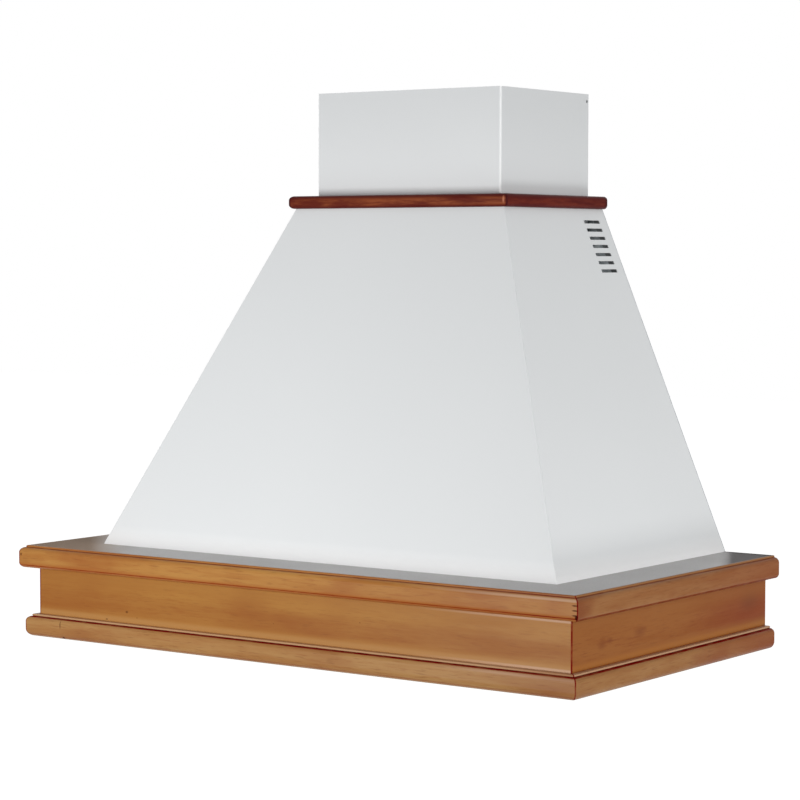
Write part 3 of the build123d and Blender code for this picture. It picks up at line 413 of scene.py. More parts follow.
class StainedWood(Graph):
    """Toned and lacquered wood with its grain along one axis."""

    def __init__(self, part, is_front):
        super().__init__(part + ("_front_wood" if is_front else "_side_wood"))
        self.body = (FRONT_BODY if is_front else SIDE_BODY)[part]
        self.gold = tuple(level * more for level, more in zip(self.body, GOLD_TONE))
        self.red = tuple(level * less for level, less in zip(self.body, REDDER))
        self.shine = FRONT_SHINE if is_front else SIDE_SHINE
        self.is_front = is_front
        self.grain = along_grain("x" if is_front else "y", GRAIN_ACROSS)
        self.height = self.axis("Z")
        self.past_side = self.maths("SUBTRACT", self.maths("ABSOLUTE", self.axis("X")), FRIEZE_X)
        self.past_front = self.maths("ADD", self.axis("Y"), FRIEZE_Y)
        from_right = self.maths("ABSOLUTE", self.maths("SUBTRACT", self.axis("X"), FRIEZE_X))
        corner = self.maths("MAXIMUM", from_right, self.maths("ABSOLUTE", self.past_front))
        self.near_corner = self.ramp(corner, 0.0, NEAR_CORNER, 1.0, 0.0)
        self.highlit = self.ramp(corner, *HIGHLIGHT_REACH, 1.0, 0.0)
        self.figure(FLECK_SHARE[part])
        self.surface()

    def figure(self, fleck_share):
        """Cloudy toner over soft grain, with short fine fibres and flecks."""
        clouds = self.noise(CLOUD_SCALE, self.stretched(0.55, 0.55, 1.2), detail=4.0, roughness=0.55)
        grain = self.stretched(*self.grain)
        self.streaks = self.noise(STREAK_SCALE, grain, detail=5.0, roughness=0.6)
        self.fibres = self.noise(FIBRE_SCALE, grain, detail=4.0, roughness=0.65, offset=3.1)
        shorter = self.stretched(*(0.6 * step for step in self.grain))
        flecks = self.noise(FLECK_SCALE, shorter, detail=1.0, offset=5.3)
        reds = self.noise(RED_SCALE, self.stretched(0.8, 0.8, 1.6), detail=3.0, offset=7.7)
        cloudy = self.maths("MULTIPLY", clouds, CLOUD_SHARE)
        blend = self.maths("MULTIPLY_ADD", self.streaks, 1.0 - CLOUD_SHARE, cloudy)
        self.shade = self.mix(self.ramp(blend, 0.40, 0.60), self.gold, self.body)
        pales = self.noise(PALE_SCALE, self.stretched(0.7, 0.7, 1.8), detail=4.0, offset=11.3)
        low, high, share = RED_CLOUDS[self.is_front]
        self.paint(self.ramp(pales, 0.50, 0.66), self.gold, PALE_CLOUDS[self.is_front])
        self.paint(self.ramp(reds, low, high), self.red, share)
        self.paint(self.ramp(self.fibres, 0.50, 0.72), self.red, 0.45)
        self.paint(self.ramp(flecks, 0.58, 0.74), FLECK, fleck_share)

    def surface(self):
        relief = self.bump(self.fibres, 0.10 * MM, 0.30)
        self.normal(self.bump(self.noise(16.0), 0.5 * MM, 0.10, under=relief))
        self.rough(self.ramp(self.streaks, 0.2, 0.8, 0.30, 0.40))

    def paint(self, mask, colour, strength=1.0):
        """Lay colour over what is there, where the mask says."""
        self.shade = self.mix(self.maths("MULTIPLY", mask, strength), self.shade, colour)

    def glaze(self, mask, colour, strength=1.0):
        """Lay dull glaze, which takes the shine of the lacquer away where it lies; the same call lays the
        painted shade at the side cornice's foot.
        """
        share = self.maths("MULTIPLY", mask, strength)
        self.shade = self.mix(share, self.shade, colour)
        self.shine = self.maths("MULTIPLY", self.maths("SUBTRACT", 1.0, share), self.shine)

    def line(self, level, half, colour, strength):
        """A thin line of glaze at one height, wandering a little in strength; at the side cornice's foot it
        is painted shade.
        """
        wander = self.ramp(self.noise(WANDER_SCALE, self.stretched(1, 1, 4)), 0.25, 0.6, 0.65, 1.0)
        mask = self.maths("MULTIPLY", self.near(self.height, level, half, LINE_SOFT), wander)
        self.glaze(mask, colour, strength)

    def mitre(self, half):
        """Glaze in the open joint at each front corner."""
        offset = self.maths("ADD", self.past_side, self.past_front)
        wander = self.ramp(self.noise(70.0), 0.3, 0.55, 0.6, 1.0)
        mask = self.maths("MULTIPLY", self.near(offset, 0.0, half, MITRE_SOFT), wander)
        self.glaze(mask, GLAZE, 0.97)

    def edge_highlight(self, level, half):
        """A painted highlight along a rounded edge, near the right front corner."""
        mask = self.maths("MULTIPLY", self.near(self.height, level, half, 2.0 * MM), self.highlit)
        self.paint(mask, HIGHLIGHT_PALE, 0.65)

    def band(self, level, half, soft, strength):
        """A paler band at one height: toner rubbed off on the frieze, and a painted highlight on the base's
        bead.
        """
        self.paint(self.near(self.height, level, half, soft), self.gold, strength)

    def finish(self):
        self.colour(self.shade)
        self.feed(self.shader.inputs["Specular IOR Level"], self.shine)


def base_lines(wood):
    if wood.is_front:
        wood.line(FRAME_LOW + FOOT_LINE, 0.5 * MM, wood.mix(wood.near_corner, GLAZE_ORANGE, GLAZE), 0.4)
        # Painted highlights on the shoulder and bead of the base near the right corner.
        wood.edge_highlight(BEAD_FOOT_Z - 3.0 * MM, 0.6 * MM)
        wood.edge_highlight(BASE_TOP - 0.6 * MM, 0.8 * MM)
    # The paler band and the pale paint on the bead are a painted highlight along the whole bead.
    wood.band(BASE_TOP, 2.4 * MM, 0.5 * MM, 1.0)
    bead = wood.near(wood.height, BASE_TOP - 0.8 * MM, 0.9 * MM, 0.8 * MM)
    wood.paint(bead, HIGHLIGHT_PALE, 0.35 if wood.is_front else 0.45)
    if wood.is_front:
        wood.paint(wood.near_corner, wood.red, 0.50)
    wood.line(BEAD_FOOT_Z - 0.2 * MM, 0.6 * MM if wood.is_front else 0.7 * MM, GLAZE_CRIMSON, 1.0)


def frieze_lines(wood):
    wood.band(CORNICE_LOW, 10.0 * MM, 24.0 * MM, 0.6)
    wood.band(GOLD_BAND_Z, 2.0 * MM, 10.0 * MM, 0.7)
    foot = wood.near(wood.height, BASE_TOP + 2.0 * MM, 2.5 * MM, 6.0 * MM)
    if wood.is_front:
        wood.paint(wood.near(wood.height, BASE_TOP + 23.0 * MM, 6.0 * MM, 15.0 * MM), wood.red, 0.28)
        wood.paint(wood.ramp(wood.axis("X"), *DARKER_LEFT, 1.0, 0.0), wood.red, 0.25)
        # On the front the pale gold foot is a painted highlight, and so are the pale edges under the cornice
        # and over the bead.
        wood.paint(foot, FRIEZE_FOOT_HIGHLIGHT, 0.75)
        wood.edge_highlight(CORNICE_LOW - 2.0 * MM, 2.0 * MM)
        wood.edge_highlight(BASE_TOP + 1.5 * MM, 1.0 * MM)
        wood.line(BASE_TOP, 0.2 * MM, GLAZE_AND_SHADE_BROWN, 0.45)
    else:
        wood.paint(foot, FRIEZE_FOOT_SIDE, 0.75)
        wood.line(BASE_TOP, 0.3 * MM, GLAZE_CRIMSON, 0.9)


def cornice_lines(wood):
    rim = wood.near(wood.height, FRAME_TOP, 2.0 * MM, 0.5 * MM)
    if wood.is_front:
        foot = wood.near(wood.height, CORNICE_LOW + 2.0 * MM, 2.0 * MM, 6.0 * MM)
        wood.paint(foot, CORNICE_FOOT, 0.6)
        wood.paint(rim, wood.mix(wood.near_corner, wood.red, GLAZE_AND_SHADE_BROWN), 0.5)
        # Painted highlight on the top of the cornice nose near the right corner.
        wood.edge_highlight(QUIRK_Z - 3.0 * MM, 0.5 * MM)
        wood.line(QUIRK_Z, 0.3 * MM, wood.mix(wood.near_corner, GLAZE_AND_SHADE_BROWN, GLAZE), 0.80)
        wood.line(CORNICE_LOW + FOOT_LINE, 0.5 * MM, wood.mix(wood.near_corner, GLAZE_ORANGE, GLAZE), 0.95)
    else:
        # The pale rim on the sides is a painted highlight.
        wood.paint(rim, wood.gold, 0.9)
        wood.line(QUIRK_Z, 0.3 * MM, GLAZE_AND_SHADE_BROWN, 0.7)
        # Painted shade on the foot round of the side cornice, which faces down.
        wood.line(CORNICE_LOW + 1.8 * MM, 1.6 * MM, GLAZE_AND_SHADE_BROWN, 0.9)


RASP_DROPS = (10.8, 16.7, 22.6)
# Place across the front in metres, height above the bead and size in millimetres.
SPECKS = ((-0.271, 15.2, 3.0), (-0.307, 2.7, 2.2), (-0.253, 8.6, 1.2), (0.118, 34.0, 1.3), (-0.02, 21.0, 1.0))
# Place along the side in metres, height above the bead and size in millimetres, and strength.
KNOTS = ((-0.421, 26.0, 9.0, 0.55), (-0.403, 29.0, 6.0, 0.6), (-0.331, 31.0, 12.0, 0.55),
         (-0.045, 40.0, 24.0, 0.8))


def wear_on_cornice(wood):
    """Rasp marks beside the right mitre, a dark chip at its foot and a nick at the left end."""
    for drop in RASP_DROPS:
        centre = (CORNICE_X - 3.5 * MM, -CORNICE_Y, FRAME_TOP - drop * MM)
        wood.glaze(wood.spot(centre, (6.0 * MM, 6.0 * MM, 1.3 * MM), 0.6), WEAR_DARK, 0.8)
    chip = (CORNICE_X - 1.0 * MM, 1.0 * MM - CORNICE_Y, CORNICE_LOW + 5.0 * MM)
    wood.glaze(wood.spot(chip, (4.0 * MM, 6.0 * MM, 4.5 * MM), 0.5), WEAR_DARK, 0.95)
    nick = (3.6 * MM - CORNICE_X, -CORNICE_Y, FRAME_TOP - 12.0 * MM)
    wood.glaze(wood.spot(nick, (1.6 * MM, 6.0 * MM, 2.4 * MM), 0.5), WEAR_DARK, 0.8)


def wear_on_frieze(wood):
    """Small dark specks in the front board."""
    for x, above_bead, size in SPECKS:
        centre = (x, -FRIEZE_Y, BASE_TOP + above_bead * MM)
        wood.glaze(wood.spot(centre, (1.2 * size * MM, 5.0 * MM, 0.8 * size * MM), 1.0), WEAR_DARK, 0.75)


def wear_on_base(wood):
    """A short crack and a nick near the left end."""
    crack = (-0.380, -BASE_Y, BASE_TOP - 10.0 * MM)
    wood.glaze(wood.spot(crack, (1.3 * MM, 9.0 * MM, 8.0 * MM), 0.8), WEAR_DARK, 0.8)
    nick = (-0.376, -BASE_Y, FRAME_LOW + 2.5 * MM)
    wood.glaze(wood.spot(nick, (3.6 * MM, 9.0 * MM, 2.6 * MM), 0.6), WEAR_DARK, 0.9)


def knots_on_side(wood):
    """Swirls of darker figure in the side boards."""
    for y, above_bead, size, strength in KNOTS:
        for side in SIDES.values():
            centre = (side * FRIEZE_X, y, BASE_TOP + above_bead * MM)
            wood.paint(wood.spot(centre, (9.0 * MM, 1.8 * size * MM, size * MM), 1.0), KNOT_BROWN, strength)


def finish_wooden_frame():
    lines = {"base_moulding": base_lines, "frieze_board": frieze_lines, "cornice": cornice_lines}
    wear = {"base_moulding": wear_on_base, "frieze_board": wear_on_frieze, "cornice": wear_on_cornice}
    for part, draw_lines in lines.items():
        front = StainedWood(part, True)
        side = StainedWood(part, False)
        side.paint(side.ramp(side.axis("Y"), *DARKER_REAR), REAR_RED, REAR_SHARE[part])
        if part == "frieze_board":
            knots_on_side(side)
        for wood in (front, side):
            draw_lines(wood)
            wood.mitre(MITRE_HALF[part])
        wear[part](front)
        front.finish()
        side.finish()
        dress(part + "_front", front)
        for side_name in SIDES:
            dress(part + "_" + side_name, side)


# Lighter and darker tone of the front trim, whose grain runs along x, and of the side ones.
TRIM_TONES = {"x": (srgb(146, 76, 44), srgb(97, 33, 21)), "y": (srgb(112, 41, 26), srgb(86, 20, 15))}
TRIM_SHINE = {"x": 0.06, "y": 0.03}
TRIM_EDGE = srgb(80, 12, 12)
TRIM_SEAM = srgb(72, 10, 10)
# Colour of a painted highlight beside the front trim's right mitre.
TRIM_HIGHLIGHT = srgb(190, 120, 90)
# The dark edges: half of their full height, and the height over which they fade.
TRIM_FOOT_EDGE = (1.0 * MM, 4.5 * MM)
TRIM_TOP_EDGE = (1.5 * MM, 6.5 * MM)


def dark_wood(along):
    """Dark red-brown stain, nearly black-red along its rounded edges and in its mitres."""
    body, shade = TRIM_TONES[along]
    wood = Graph("dark_trim_wood_" + along, Specular_IOR_Level=TRIM_SHINE[along])
    grain = wood.stretched(*along_grain(along, GRAIN_ACROSS, 1.6))
    streaks = wood.noise(9.0, grain, detail=5.0, roughness=0.65)
    fibres = wood.noise(60.0, grain, detail=2.0)
    colour = wood.mix(wood.ramp(streaks, 0.36, 0.64), body, shade)
    height = wood.axis("Z")
    edges = wood.maths("MAXIMUM", wood.near(height, TRIM_LOW, *TRIM_FOOT_EDGE),
                       wood.near(height, TRIM_TOP, *TRIM_TOP_EDGE))
    colour = wood.mix(wood.maths("MULTIPLY", edges, 0.9), colour, TRIM_EDGE)
    across = wood.maths("SUBTRACT", wood.maths("ABSOLUTE", wood.axis("X")), TRIM_X)
    seam = wood.maths("ADD", across, wood.maths("ADD", wood.axis("Y"), TRIM_Y))
    if along == "x":
        # A painted highlight beside the right mitre of the front trim.
        highlight_place = (TRIM_X - 6.0 * MM, -TRIM_Y, (TRIM_LOW + TRIM_TOP) / 2 + 1.0 * MM)
        beside = wood.spot(highlight_place, (2.4 * MM, 6.0 * MM, 7.0 * MM), 0.8)
        colour = wood.mix(wood.maths("MULTIPLY", beside, 0.9), colour, TRIM_HIGHLIGHT)
    colour = wood.mix(wood.near(seam, -0.6 * MM, 1.5 * MM, 1.0 * MM), colour, TRIM_SEAM)
    rear = wood.ramp(wood.axis("Y"), -10.0 * MM, -2.0 * MM)
    wood.colour(wood.mix(rear, colour, TRIM_SEAM))
    wood.rough(wood.ramp(streaks, 0.3, 0.7, 0.26, 0.36))
    wood.normal(wood.bump(fibres, 0.1 * MM, 0.3))
    return wood


def finish_neck_trim():
    side = dark_wood("y")
    dress("neck_trim_front", dark_wood("x"))
    for side_name in SIDES:
        dress("neck_trim_" + side_name, side)


def plain_wood():
    """Sawn timber of the parts that face the wall or the inside."""
    wood = Graph("plain_wood", Roughness=0.7)
    grain = wood.stretched(*along_grain("x", 22.0))
    streaks = wood.noise(6.0, grain, detail=5.0, roughness=0.6)
    fibres = wood.noise(50.0, grain, detail=2.0)
    wood.colour(wood.mix(wood.ramp(streaks, 0.3, 0.7), srgb(205, 176, 134), srgb(178, 143, 100)))
    wood.normal(wood.bump(fibres, 0.2 * MM, 0.6))
    return wood


# ------------------------------------------------------------------ metals and paints
# Linear colours.
ENAMEL = (0.800, 0.818, 0.826)
ENAMEL_DULL = (0.785, 0.804, 0.812)
# Paler enamel painted as a highlight on the sleeve's folds.
ENAMEL_FOLD_HIGHLIGHT = (0.940, 0.950, 0.955)
# Near-white enamel painted along the canopy's foot as light, against the shade there.
ENAMEL_FOOT_LIGHT = (0.990, 0.992, 0.994)
ENAMEL_AT_TOP = (0.735, 0.752, 0.760)
# Grey painted on the canopy's inside as shade seen through the vents.
INSIDE_SHADE_GREY = srgb(128, 130, 131)

INSIDE_SHADE_DEPTH = (0.7 * MM, 1.1 * MM)  # under the canopy's skin, where its inside begins
BRIGHT_FOOT = (2.0 * MM, 28.0 * MM)  # above the shelf
DULL_TOP = 120.0 * MM  # below the sleeve's top
FOLD_FROM = 3.0 * MM  # from the sleeve's outside
FOLD_FULL = 1.0 * MM
CANOPY_SIDE_LEAN = (CANOPY_FOOT_X - CANOPY_NECK_X) / (TRIM_LOW - FRAME_TOP)
CANOPY_FRONT_LEAN = (CANOPY_FOOT_Y - CANOPY_NECK_Y) / (TRIM_LOW - FRAME_TOP)


def white_enamel(name):
    """Satin white powder coat with a faint orange peel, and the colour it starts from."""
    paint = Graph(name, Roughness=0.45, Specular_IOR_Level=0.4)
    cloud = paint.noise(2.2, detail=2.0)
    peel = paint.noise(700.0, detail=1.0)
    paint.normal(paint.bump(peel, 0.03 * MM, 0.25))
    paint.rough(paint.mottle(9.0, 0.42, 0.50))
    return paint, paint.mix(paint.ramp(cloud, 0.3, 0.7), ENAMEL, ENAMEL_DULL)


def sleeve_enamel():
    """Enamel of the sleeve: a painted highlight on its two rounded folds, and a little darker at its top."""
    paint, colour = white_enamel("sleeve_enamel")
    across = paint.maths("ABSOLUTE", paint.axis("X"))
    outward = paint.maths("MULTIPLY", paint.axis("Y"), -1.0)
    # The folds are painted paler as a highlight.
    fold = paint.maths("MINIMUM", paint.ramp(across, SLEEVE_X - FOLD_FROM, SLEEVE_X - FOLD_FULL),
                       paint.ramp(outward, SLEEVE_Y - FOLD_FROM, SLEEVE_Y - FOLD_FULL))
    top = paint.ramp(paint.axis("Z"), SLEEVE_TOP - DULL_TOP, SLEEVE_TOP)
    colour = paint.mix(top, colour, ENAMEL_AT_TOP)
    paint.colour(paint.mix(fold, colour, ENAMEL_FOLD_HIGHLIGHT))
    return paint


def canopy_enamel():
    """Enamel of the pyramid, with painted light along its foot against the shade there, and grey painted on
    its inside as shade that shows through the vents.
    """
    paint, colour = white_enamel("canopy_enamel")
    rise = paint.maths("SUBTRACT", paint.axis("Z"), FRAME_TOP)
    # Painted light along the foot, lifting the shade next to the shelf.
    colour = paint.mix(paint.ramp(rise, *BRIGHT_FOOT, 1.0, 0.0), colour, ENAMEL_FOOT_LIGHT)
    side_skin = paint.maths("MULTIPLY_ADD", rise, -CANOPY_SIDE_LEAN, CANOPY_FOOT_X)
    front_skin = paint.maths("MULTIPLY_ADD", rise, -CANOPY_FRONT_LEAN, CANOPY_FOOT_Y)
    from_side = paint.maths("SUBTRACT", side_skin, paint.maths("ABSOLUTE", paint.axis("X")))
    from_front = paint.maths("ADD", front_skin, paint.axis("Y"))
    depth = paint.maths("MINIMUM", from_side, from_front)
    # The inside faces are painted grey as shade behind the vents.
    paint.colour(paint.mix(paint.ramp(depth, *INSIDE_SHADE_DEPTH), colour, INSIDE_SHADE_GREY))
    return paint


SHELF_SHINE = 0.3
SHELF_GREY = srgb(191, 189, 188)
# Darker grey at the right end past the painted reflection, and a brownish grey at the left that is a painted
# reflection of the wood.
SHELF_GREY_RIGHT = srgb(146, 142, 142)
SHELF_GREY_LEFT = srgb(188, 166, 148)
# Painted shade along the wall.
SHELF_REAR_SHADE = srgb(80, 78, 78)
SHELF_SPECK = srgb(94, 96, 96)

# The shelf's grey changes across two lines, where x + slant * y passes the foot of the canopy at the
# right and SHELF_LEFT_LINE at the left: the colour and shine inside them are a painted reflection of the
# canopy, and past them the grey is darker. Towards the wall it is painted shade. Each change starts and ends
# as given.
SHELF_RIGHT_SLANT = 0.539
SHELF_LEFT_SLANT = 0.909
SHELF_LEFT_LINE = -0.758
SHELF_RIGHT_FADE = (-14.0 * MM, 12.0 * MM)
SHELF_LEFT_FADE = (-60.0 * MM, 30.0 * MM)
SHELF_REAR_FADE = (-12.0 * MM, -3.0 * MM)


def grey_shelf():
    """Satin grey plate with a painted reflection of the canopy: duller and darker at its left end and rear
    right, and painted shade along the wall.
    """
    paint = Graph("grey_shelf")
    x, y = paint.axis("X"), paint.axis("Y")
    right = paint.maths("SUBTRACT", paint.maths("MULTIPLY_ADD", y, SHELF_RIGHT_SLANT, x), CANOPY_FOOT_X)
    left = paint.maths("SUBTRACT", paint.maths("MULTIPLY_ADD", y, -SHELF_LEFT_SLANT, SHELF_LEFT_LINE), x)
    at_right = paint.ramp(right, *SHELF_RIGHT_FADE)
    at_left = paint.ramp(left, *SHELF_LEFT_FADE)
    ends = paint.maths("MAXIMUM", at_right, at_left)
    paint.feed(paint.shader.inputs["Specular IOR Level"], paint.ramp(ends, 0.0, 1.0, SHELF_SHINE, 0.0))
    colour = paint.mix(at_right, SHELF_GREY, SHELF_GREY_RIGHT)
    colour = paint.mix(at_left, colour, SHELF_GREY_LEFT)
    colour = paint.mix(paint.ramp(y, *SHELF_REAR_FADE, 0.0, 0.8), colour, SHELF_REAR_SHADE)
    speck = paint.ramp(paint.noise(420.0, detail=2.0), 0.35, 0.65, 0.0, 0.12)
    paint.colour(paint.mix(speck, colour, SHELF_SPECK))
    paint.rough(paint.mottle(12.0, 0.42, 0.52))
    paint.normal(paint.bump(paint.noise(520.0, detail=1.0), 0.03 * MM, 0.3))
    return paint


SPANGLE_SCALE = 95.0


def galvanised():
    """Zinc-coated steel with its spangle."""
    metal = Graph("galvanised", Metallic=0.85)
    # A step of arithmetic turns each flake's colour into one grey level.
    flakes = metal.maths("MULTIPLY", metal.cells(SPANGLE_SCALE, output="Color"), 1.0)
    tint = metal.mix(metal.ramp(flakes, 0.2, 0.8), srgb(164, 169, 172), srgb(190, 194, 196))
    metal.colour(metal.mix(metal.mottle(6.0, 0.0, 0.3), tint, srgb(140, 146, 150)))
    edge = metal.cells(SPANGLE_SCALE)
    metal.rough(metal.ramp(edge, 0.0, 0.6, 0.34, 0.50))
    metal.normal(metal.bump(metal.noise(300.0), 0.03 * MM, 0.2))
    return metal


def brushed_metal(name, along, tone, rough):
    """Steel or aluminium with fine lines along one axis."""
    metal = Graph(name, Metallic=1.0)
    lines = metal.noise(22.0, metal.stretched(*along_grain(along, 90.0)), detail=4.0, roughness=0.7)
    darker = tuple(level * 0.84 for level in tone)
    metal.colour(metal.mix(metal.ramp(lines, 0.3, 0.7), tone, darker))
    metal.rough(metal.ramp(lines, 0.25, 0.75, rough - 0.05, rough + 0.09))
    metal.normal(metal.bump(lines, 0.02 * MM, 0.35))
    return metal


def moulded_plastic(name, tone, rough=0.5, grain=0.05):
    """Plastic with a fine moulded texture."""
    plastic = Graph(name)
    paler = tuple(min(1.0, level * 1.12 + 0.004) for level in tone)
    plastic.colour(plastic.mix(plastic.mottle(14.0), tone, paler))
    plastic.normal(plastic.bump(plastic.noise(1400.0, detail=1.0), grain * MM, 0.5))
    plastic.rough(plastic.mottle(40.0, rough - 0.04, rough + 0.05))
    return plastic


def polished_chrome():
    metal = Graph("polished_chrome", Metallic=1.0)
    metal.colour(metal.mix(metal.mottle(30.0), (0.80, 0.81, 0.83), (0.74, 0.75, 0.77)))
    metal.rough(metal.mottle(60.0, 0.06, 0.12))
    return metal


def frosted_glass():
    """Pressed glass with a pebbled face."""
    glass = Graph("frosted_glass", Roughness=0.35, IOR=1.48, Transmission_Weight=0.85)
    glass.colour(glass.mix(glass.mottle(30.0), (0.93, 0.96, 0.97), (0.88, 0.92, 0.93)))
    glass.normal(glass.bump(glass.cells(320.0), 0.25 * MM, 0.5))
    return glass


def dress(node_name, graph):
    """Give a node its finish."""
    mesh = NODES[node_name].data
    mesh.materials.clear()
    mesh.materials.append(graph.material)


STEEL_GREY = srgb(190, 192, 196)
ALUMINIUM_GREY = srgb(206, 208, 210)
BUTTONS = ("light", "off", "speed_1", "speed_2", "speed_3")


def finish_metal_and_plastic():
    zinc = galvanised()
    timber = plain_wood()
    aluminium = brushed_metal("brushed_aluminium", "x", ALUMINIUM_GREY, 0.30)
    steel = brushed_metal("turned_steel", "y", STEEL_GREY, 0.28)
    screw = brushed_metal("zinc_screw", "z", srgb(190, 190, 184), 0.30)
    black = moulded_plastic("black_plastic", srgb(34, 34, 36))
    grey = moulded_plastic("grey_plastic", srgb(150, 152, 154))
    rubber = moulded_plastic("rubber", srgb(30, 30, 31), rough=0.72, grain=0.08)
    silver_button = moulded_plastic("button_plastic", srgb(196, 198, 200), rough=0.3, grain=0.02)
    finishes = {
        "canopy_shell": canopy_enamel(), "chimney_sleeve": sleeve_enamel(), "shelf_plate": grey_shelf(),
        "rear_rail": timber, "corner_blocks": timber, "back_panel": zinc, "chassis_frame": zinc,
        "sleeve_stops": zinc, "intake_panel": brushed_metal("panel_steel", "x", STEEL_GREY, 0.32),
        "control_bezel": black, "switch_box": grey, "impeller": grey, "motor_body": zinc,
        "motor_shaft": steel, "motor_spider": zinc, "mount_grommets": rubber, "duct_collar": black,
        "flap_pin": steel, "flap_front": black, "flap_rear": black, "terminal_box": grey,
        "terminal_lid": grey, "capacitor": aluminium, "wiring_harness": rubber,
        "body_screws": screw, "frame_screws": screw, "back_rivets": screw,
    }
    for name in BUTTONS:
        finishes["button_" + name] = silver_button
    glass = frosted_glass()
    chrome = polished_chrome()
    for side in SIDES:
        finishes["filter_frame_" + side] = aluminium
        finishes["filter_mesh_" + side] = aluminium
        finishes["filter_latch_" + side] = black
        finishes["lamp_housing_" + side] = aluminium
        finishes["lamp_lens_" + side] = glass
        finishes["lamp_bezel_" + side] = chrome
        finishes["scroll_" + side + "_half"] = zinc
        finishes["blower_bracket_" + side] = zinc
    for node_name, graph in finishes.items():
        dress(node_name, graph)


# ------------------------------------------------------------------ pieces made here
def add_piece(name, vertices, faces, graph, body, slot):
    mesh = bpy.data.meshes.new(name)
    mesh.from_pydata(vertices, [], faces)
    mesh.materials.append(graph.material)
    piece = bpy.data.objects.new(name, mesh)
    bpy.context.scene.collection.objects.link(piece)
    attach(piece, body)
    return piece


MESH_CELL_X = 12.0 * MM
MESH_CELL_Y = 5.2 * MM
STRAND_W = 0.9 * MM
STRAND_T = 0.55 * MM
MESH_LAYERS = 3
LATCH_NOTCH_X = 26.0 * MM
LATCH_NOTCH_Y = 22.0 * MM


def skin(sections, is_ring=False):
    """Closed skin over a row of four-cornered sections, or round a ring of them."""
    count = len(sections)
    vertices = [corner for section in sections for corner in section]
    faces = []
    for number in range(count if is_ring else count - 1):
        here = 4 * number
        there = 4 * ((number + 1) % count)
        for edge in range(4):
            after = (edge + 1) % 4
            faces.append((here + edge, here + after, there + after, there + edge))
    if not is_ring:
        faces.append((3, 2, 1, 0))
        faces.append(tuple(len(vertices) - 4 + corner for corner in range(4)))
    return vertices, faces


def joined(skins):
    """Vertices and faces of several skins in one pair of lists."""
    vertices = []
    faces = []
    for points, polygons in skins:
        start = len(vertices)
        vertices += points
        faces += [tuple(start + corner for corner in polygon) for polygon in polygons]
    return vertices, faces


def expanded_strand(xs, middle_y, z, first_way, is_open):
    """Skins of one zigzag strand of rectangular section through xs, broken where is_open says so."""
    swing = (MESH_CELL_Y - STRAND_W) / 2
    top = z + STRAND_T
    runs = [[]]
    for number, x in enumerate(xs):
        y = middle_y + (swing if (number + first_way) % 2 else -swing)
        if is_open(x, y):
            runs.append([])
            continue
        near_y, far_y = y - STRAND_W / 2, y + STRAND_W / 2
        runs[-1].append([(x, near_y, z), (x, far_y, z), (x, far_y, top), (x, near_y, top)])
    return [skin(run) for run in runs if len(run) > 1]


def expanded_mesh(side_name, metal):
    """Crossed layers of expanded aluminium in place of the filter's plain mesh pack."""
    node = "filter_mesh_" + side_name
    low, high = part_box(node)
    middle_x = (low[0] + high[0]) / 2
    columns = int((high[0] - low[0]) / (MESH_CELL_X / 2))
    xs = [low[0] + (high[0] - low[0]) * column / columns for column in range(columns + 1)]
    rows = int((high[1] - low[1]) / MESH_CELL_Y)

    def at_latch(x, y):
        return abs(x - middle_x) < LATCH_NOTCH_X and y < low[1] + LATCH_NOTCH_Y

    strands = []
    for layer in range(MESH_LAYERS):
        z = low[2] + layer * (high[2] - low[2] - STRAND_T) / (MESH_LAYERS - 1)
        for row in range(rows):
            middle_y = low[1] + MESH_CELL_Y * (row + 0.5)
            strands += expanded_strand(xs, middle_y, z, row + layer, at_latch)
    piece = add_piece("expanded_mesh_" + side_name, *joined(strands), metal, side_name + "_filter", "mesh")
    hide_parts(node)


MARK_HALF = 2.2 * MM
MARK_LINE = 0.55 * MM
MARK_DEPTH = 0.04 * MM
MITRE_LIMIT = 0.6
ARC_STEPS = 14


def arc(centre, radii, start, end):
    """Points of part of an ellipse, from the angle start to end in degrees."""
    angles = [math.radians(start + (end - start) * step / ARC_STEPS) for step in range(ARC_STEPS + 1)]
    return [(centre[0] + radii[0] * math.cos(a), centre[1] + radii[1] * math.sin(a)) for a in angles]


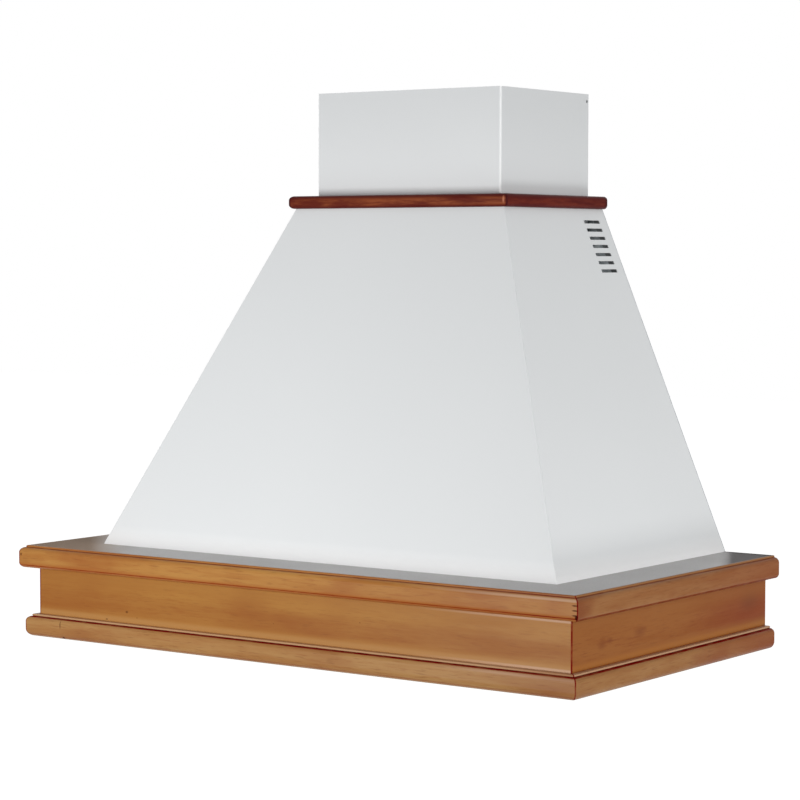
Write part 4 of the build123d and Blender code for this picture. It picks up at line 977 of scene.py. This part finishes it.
def mark_paths():
    """The strokes of each button's mark, in a square from -1 to 1."""
    rays = []
    for angle in range(0, 360, 45):
        way = (math.cos(math.radians(angle)), math.sin(math.radians(angle)))
        rays.append([(0.8 * way[0], 0.8 * way[1]), (1.15 * way[0], 1.15 * way[1])])
    return {
        "light": [arc((0, 0), (0.45, 0.45), 0, 360), *rays],
        "off": [arc((0, 0), (0.55, 0.95), 0, 360)],
        "speed_1": [[(-0.35, 0.55), (0.05, 0.95), (0.05, -0.95)]],
        "speed_2": [[*arc((0, 0.42), (0.52, 0.52), 165, -35), (-0.55, -0.92), (0.6, -0.92)]],
        "speed_3": [arc((0, 0.47), (0.46, 0.46), 150, -90), arc((0, -0.44), (0.54, 0.5), 90, -150)],
    }


def stroke(path, middle, low_z, high_z):
    """Skin of a flat line along path, mitred at its points and joined where it meets itself."""
    points = [middle + Vector((x, -y)) * MARK_HALF for x, y in path]
    is_ring = (points[0] - points[-1]).length < MARK_LINE / 10
    if is_ring:
        points.pop()
    last = len(points) - 1
    sections = []
    for number, point in enumerate(points):
        ways = []
        if number or is_ring:
            ways.append((point - points[number - 1]).normalized())
        if number < last or is_ring:
            ways.append((points[(number + 1) % len(points)] - point).normalized())
        way = (ways[0] + ways[-1]).normalized()
        across = Vector((-way.y, way.x)) * MARK_LINE / 2 / max(way.dot(ways[0]), MITRE_LIMIT)
        left = point + across
        right = point - across
        sections.append([(*right, low_z), (*left, low_z), (*left, high_z), (*right, high_z)])
    return skin(sections, is_ring)


def button_mark(name, paths, ink):
    """A mark printed on a button's face, read from below by someone facing the hood."""
    low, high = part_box("button_" + name)
    middle = Vector(((low[0] + high[0]) / 2, (low[1] + high[1]) / 2))
    face = low[2]
    strokes = [stroke(path, middle, face - MARK_DEPTH, face + MARK_DEPTH / 2) for path in paths]
    add_piece("mark_" + name, *joined(strokes), ink, "button_" + name + "_cap", "black_plastic")


def make_pieces():
    metal = brushed_metal("mesh_aluminium", "x", srgb(198, 200, 202), 0.34)
    for side_name in SIDES:
        expanded_mesh(side_name, metal)
    ink = moulded_plastic("mark_ink", srgb(40, 40, 42), rough=0.45, grain=0.01)
    for name, paths in mark_paths().items():
        button_mark(name, paths, ink)


# ------------------------------------------------------------------ the whole scene
make_camera()
make_world()
make_floor()
make_lights()
finish_wooden_frame()
finish_neck_trim()
finish_metal_and_plastic()
make_pieces()

bpy.context.scene.view_settings.view_transform = "Standard"
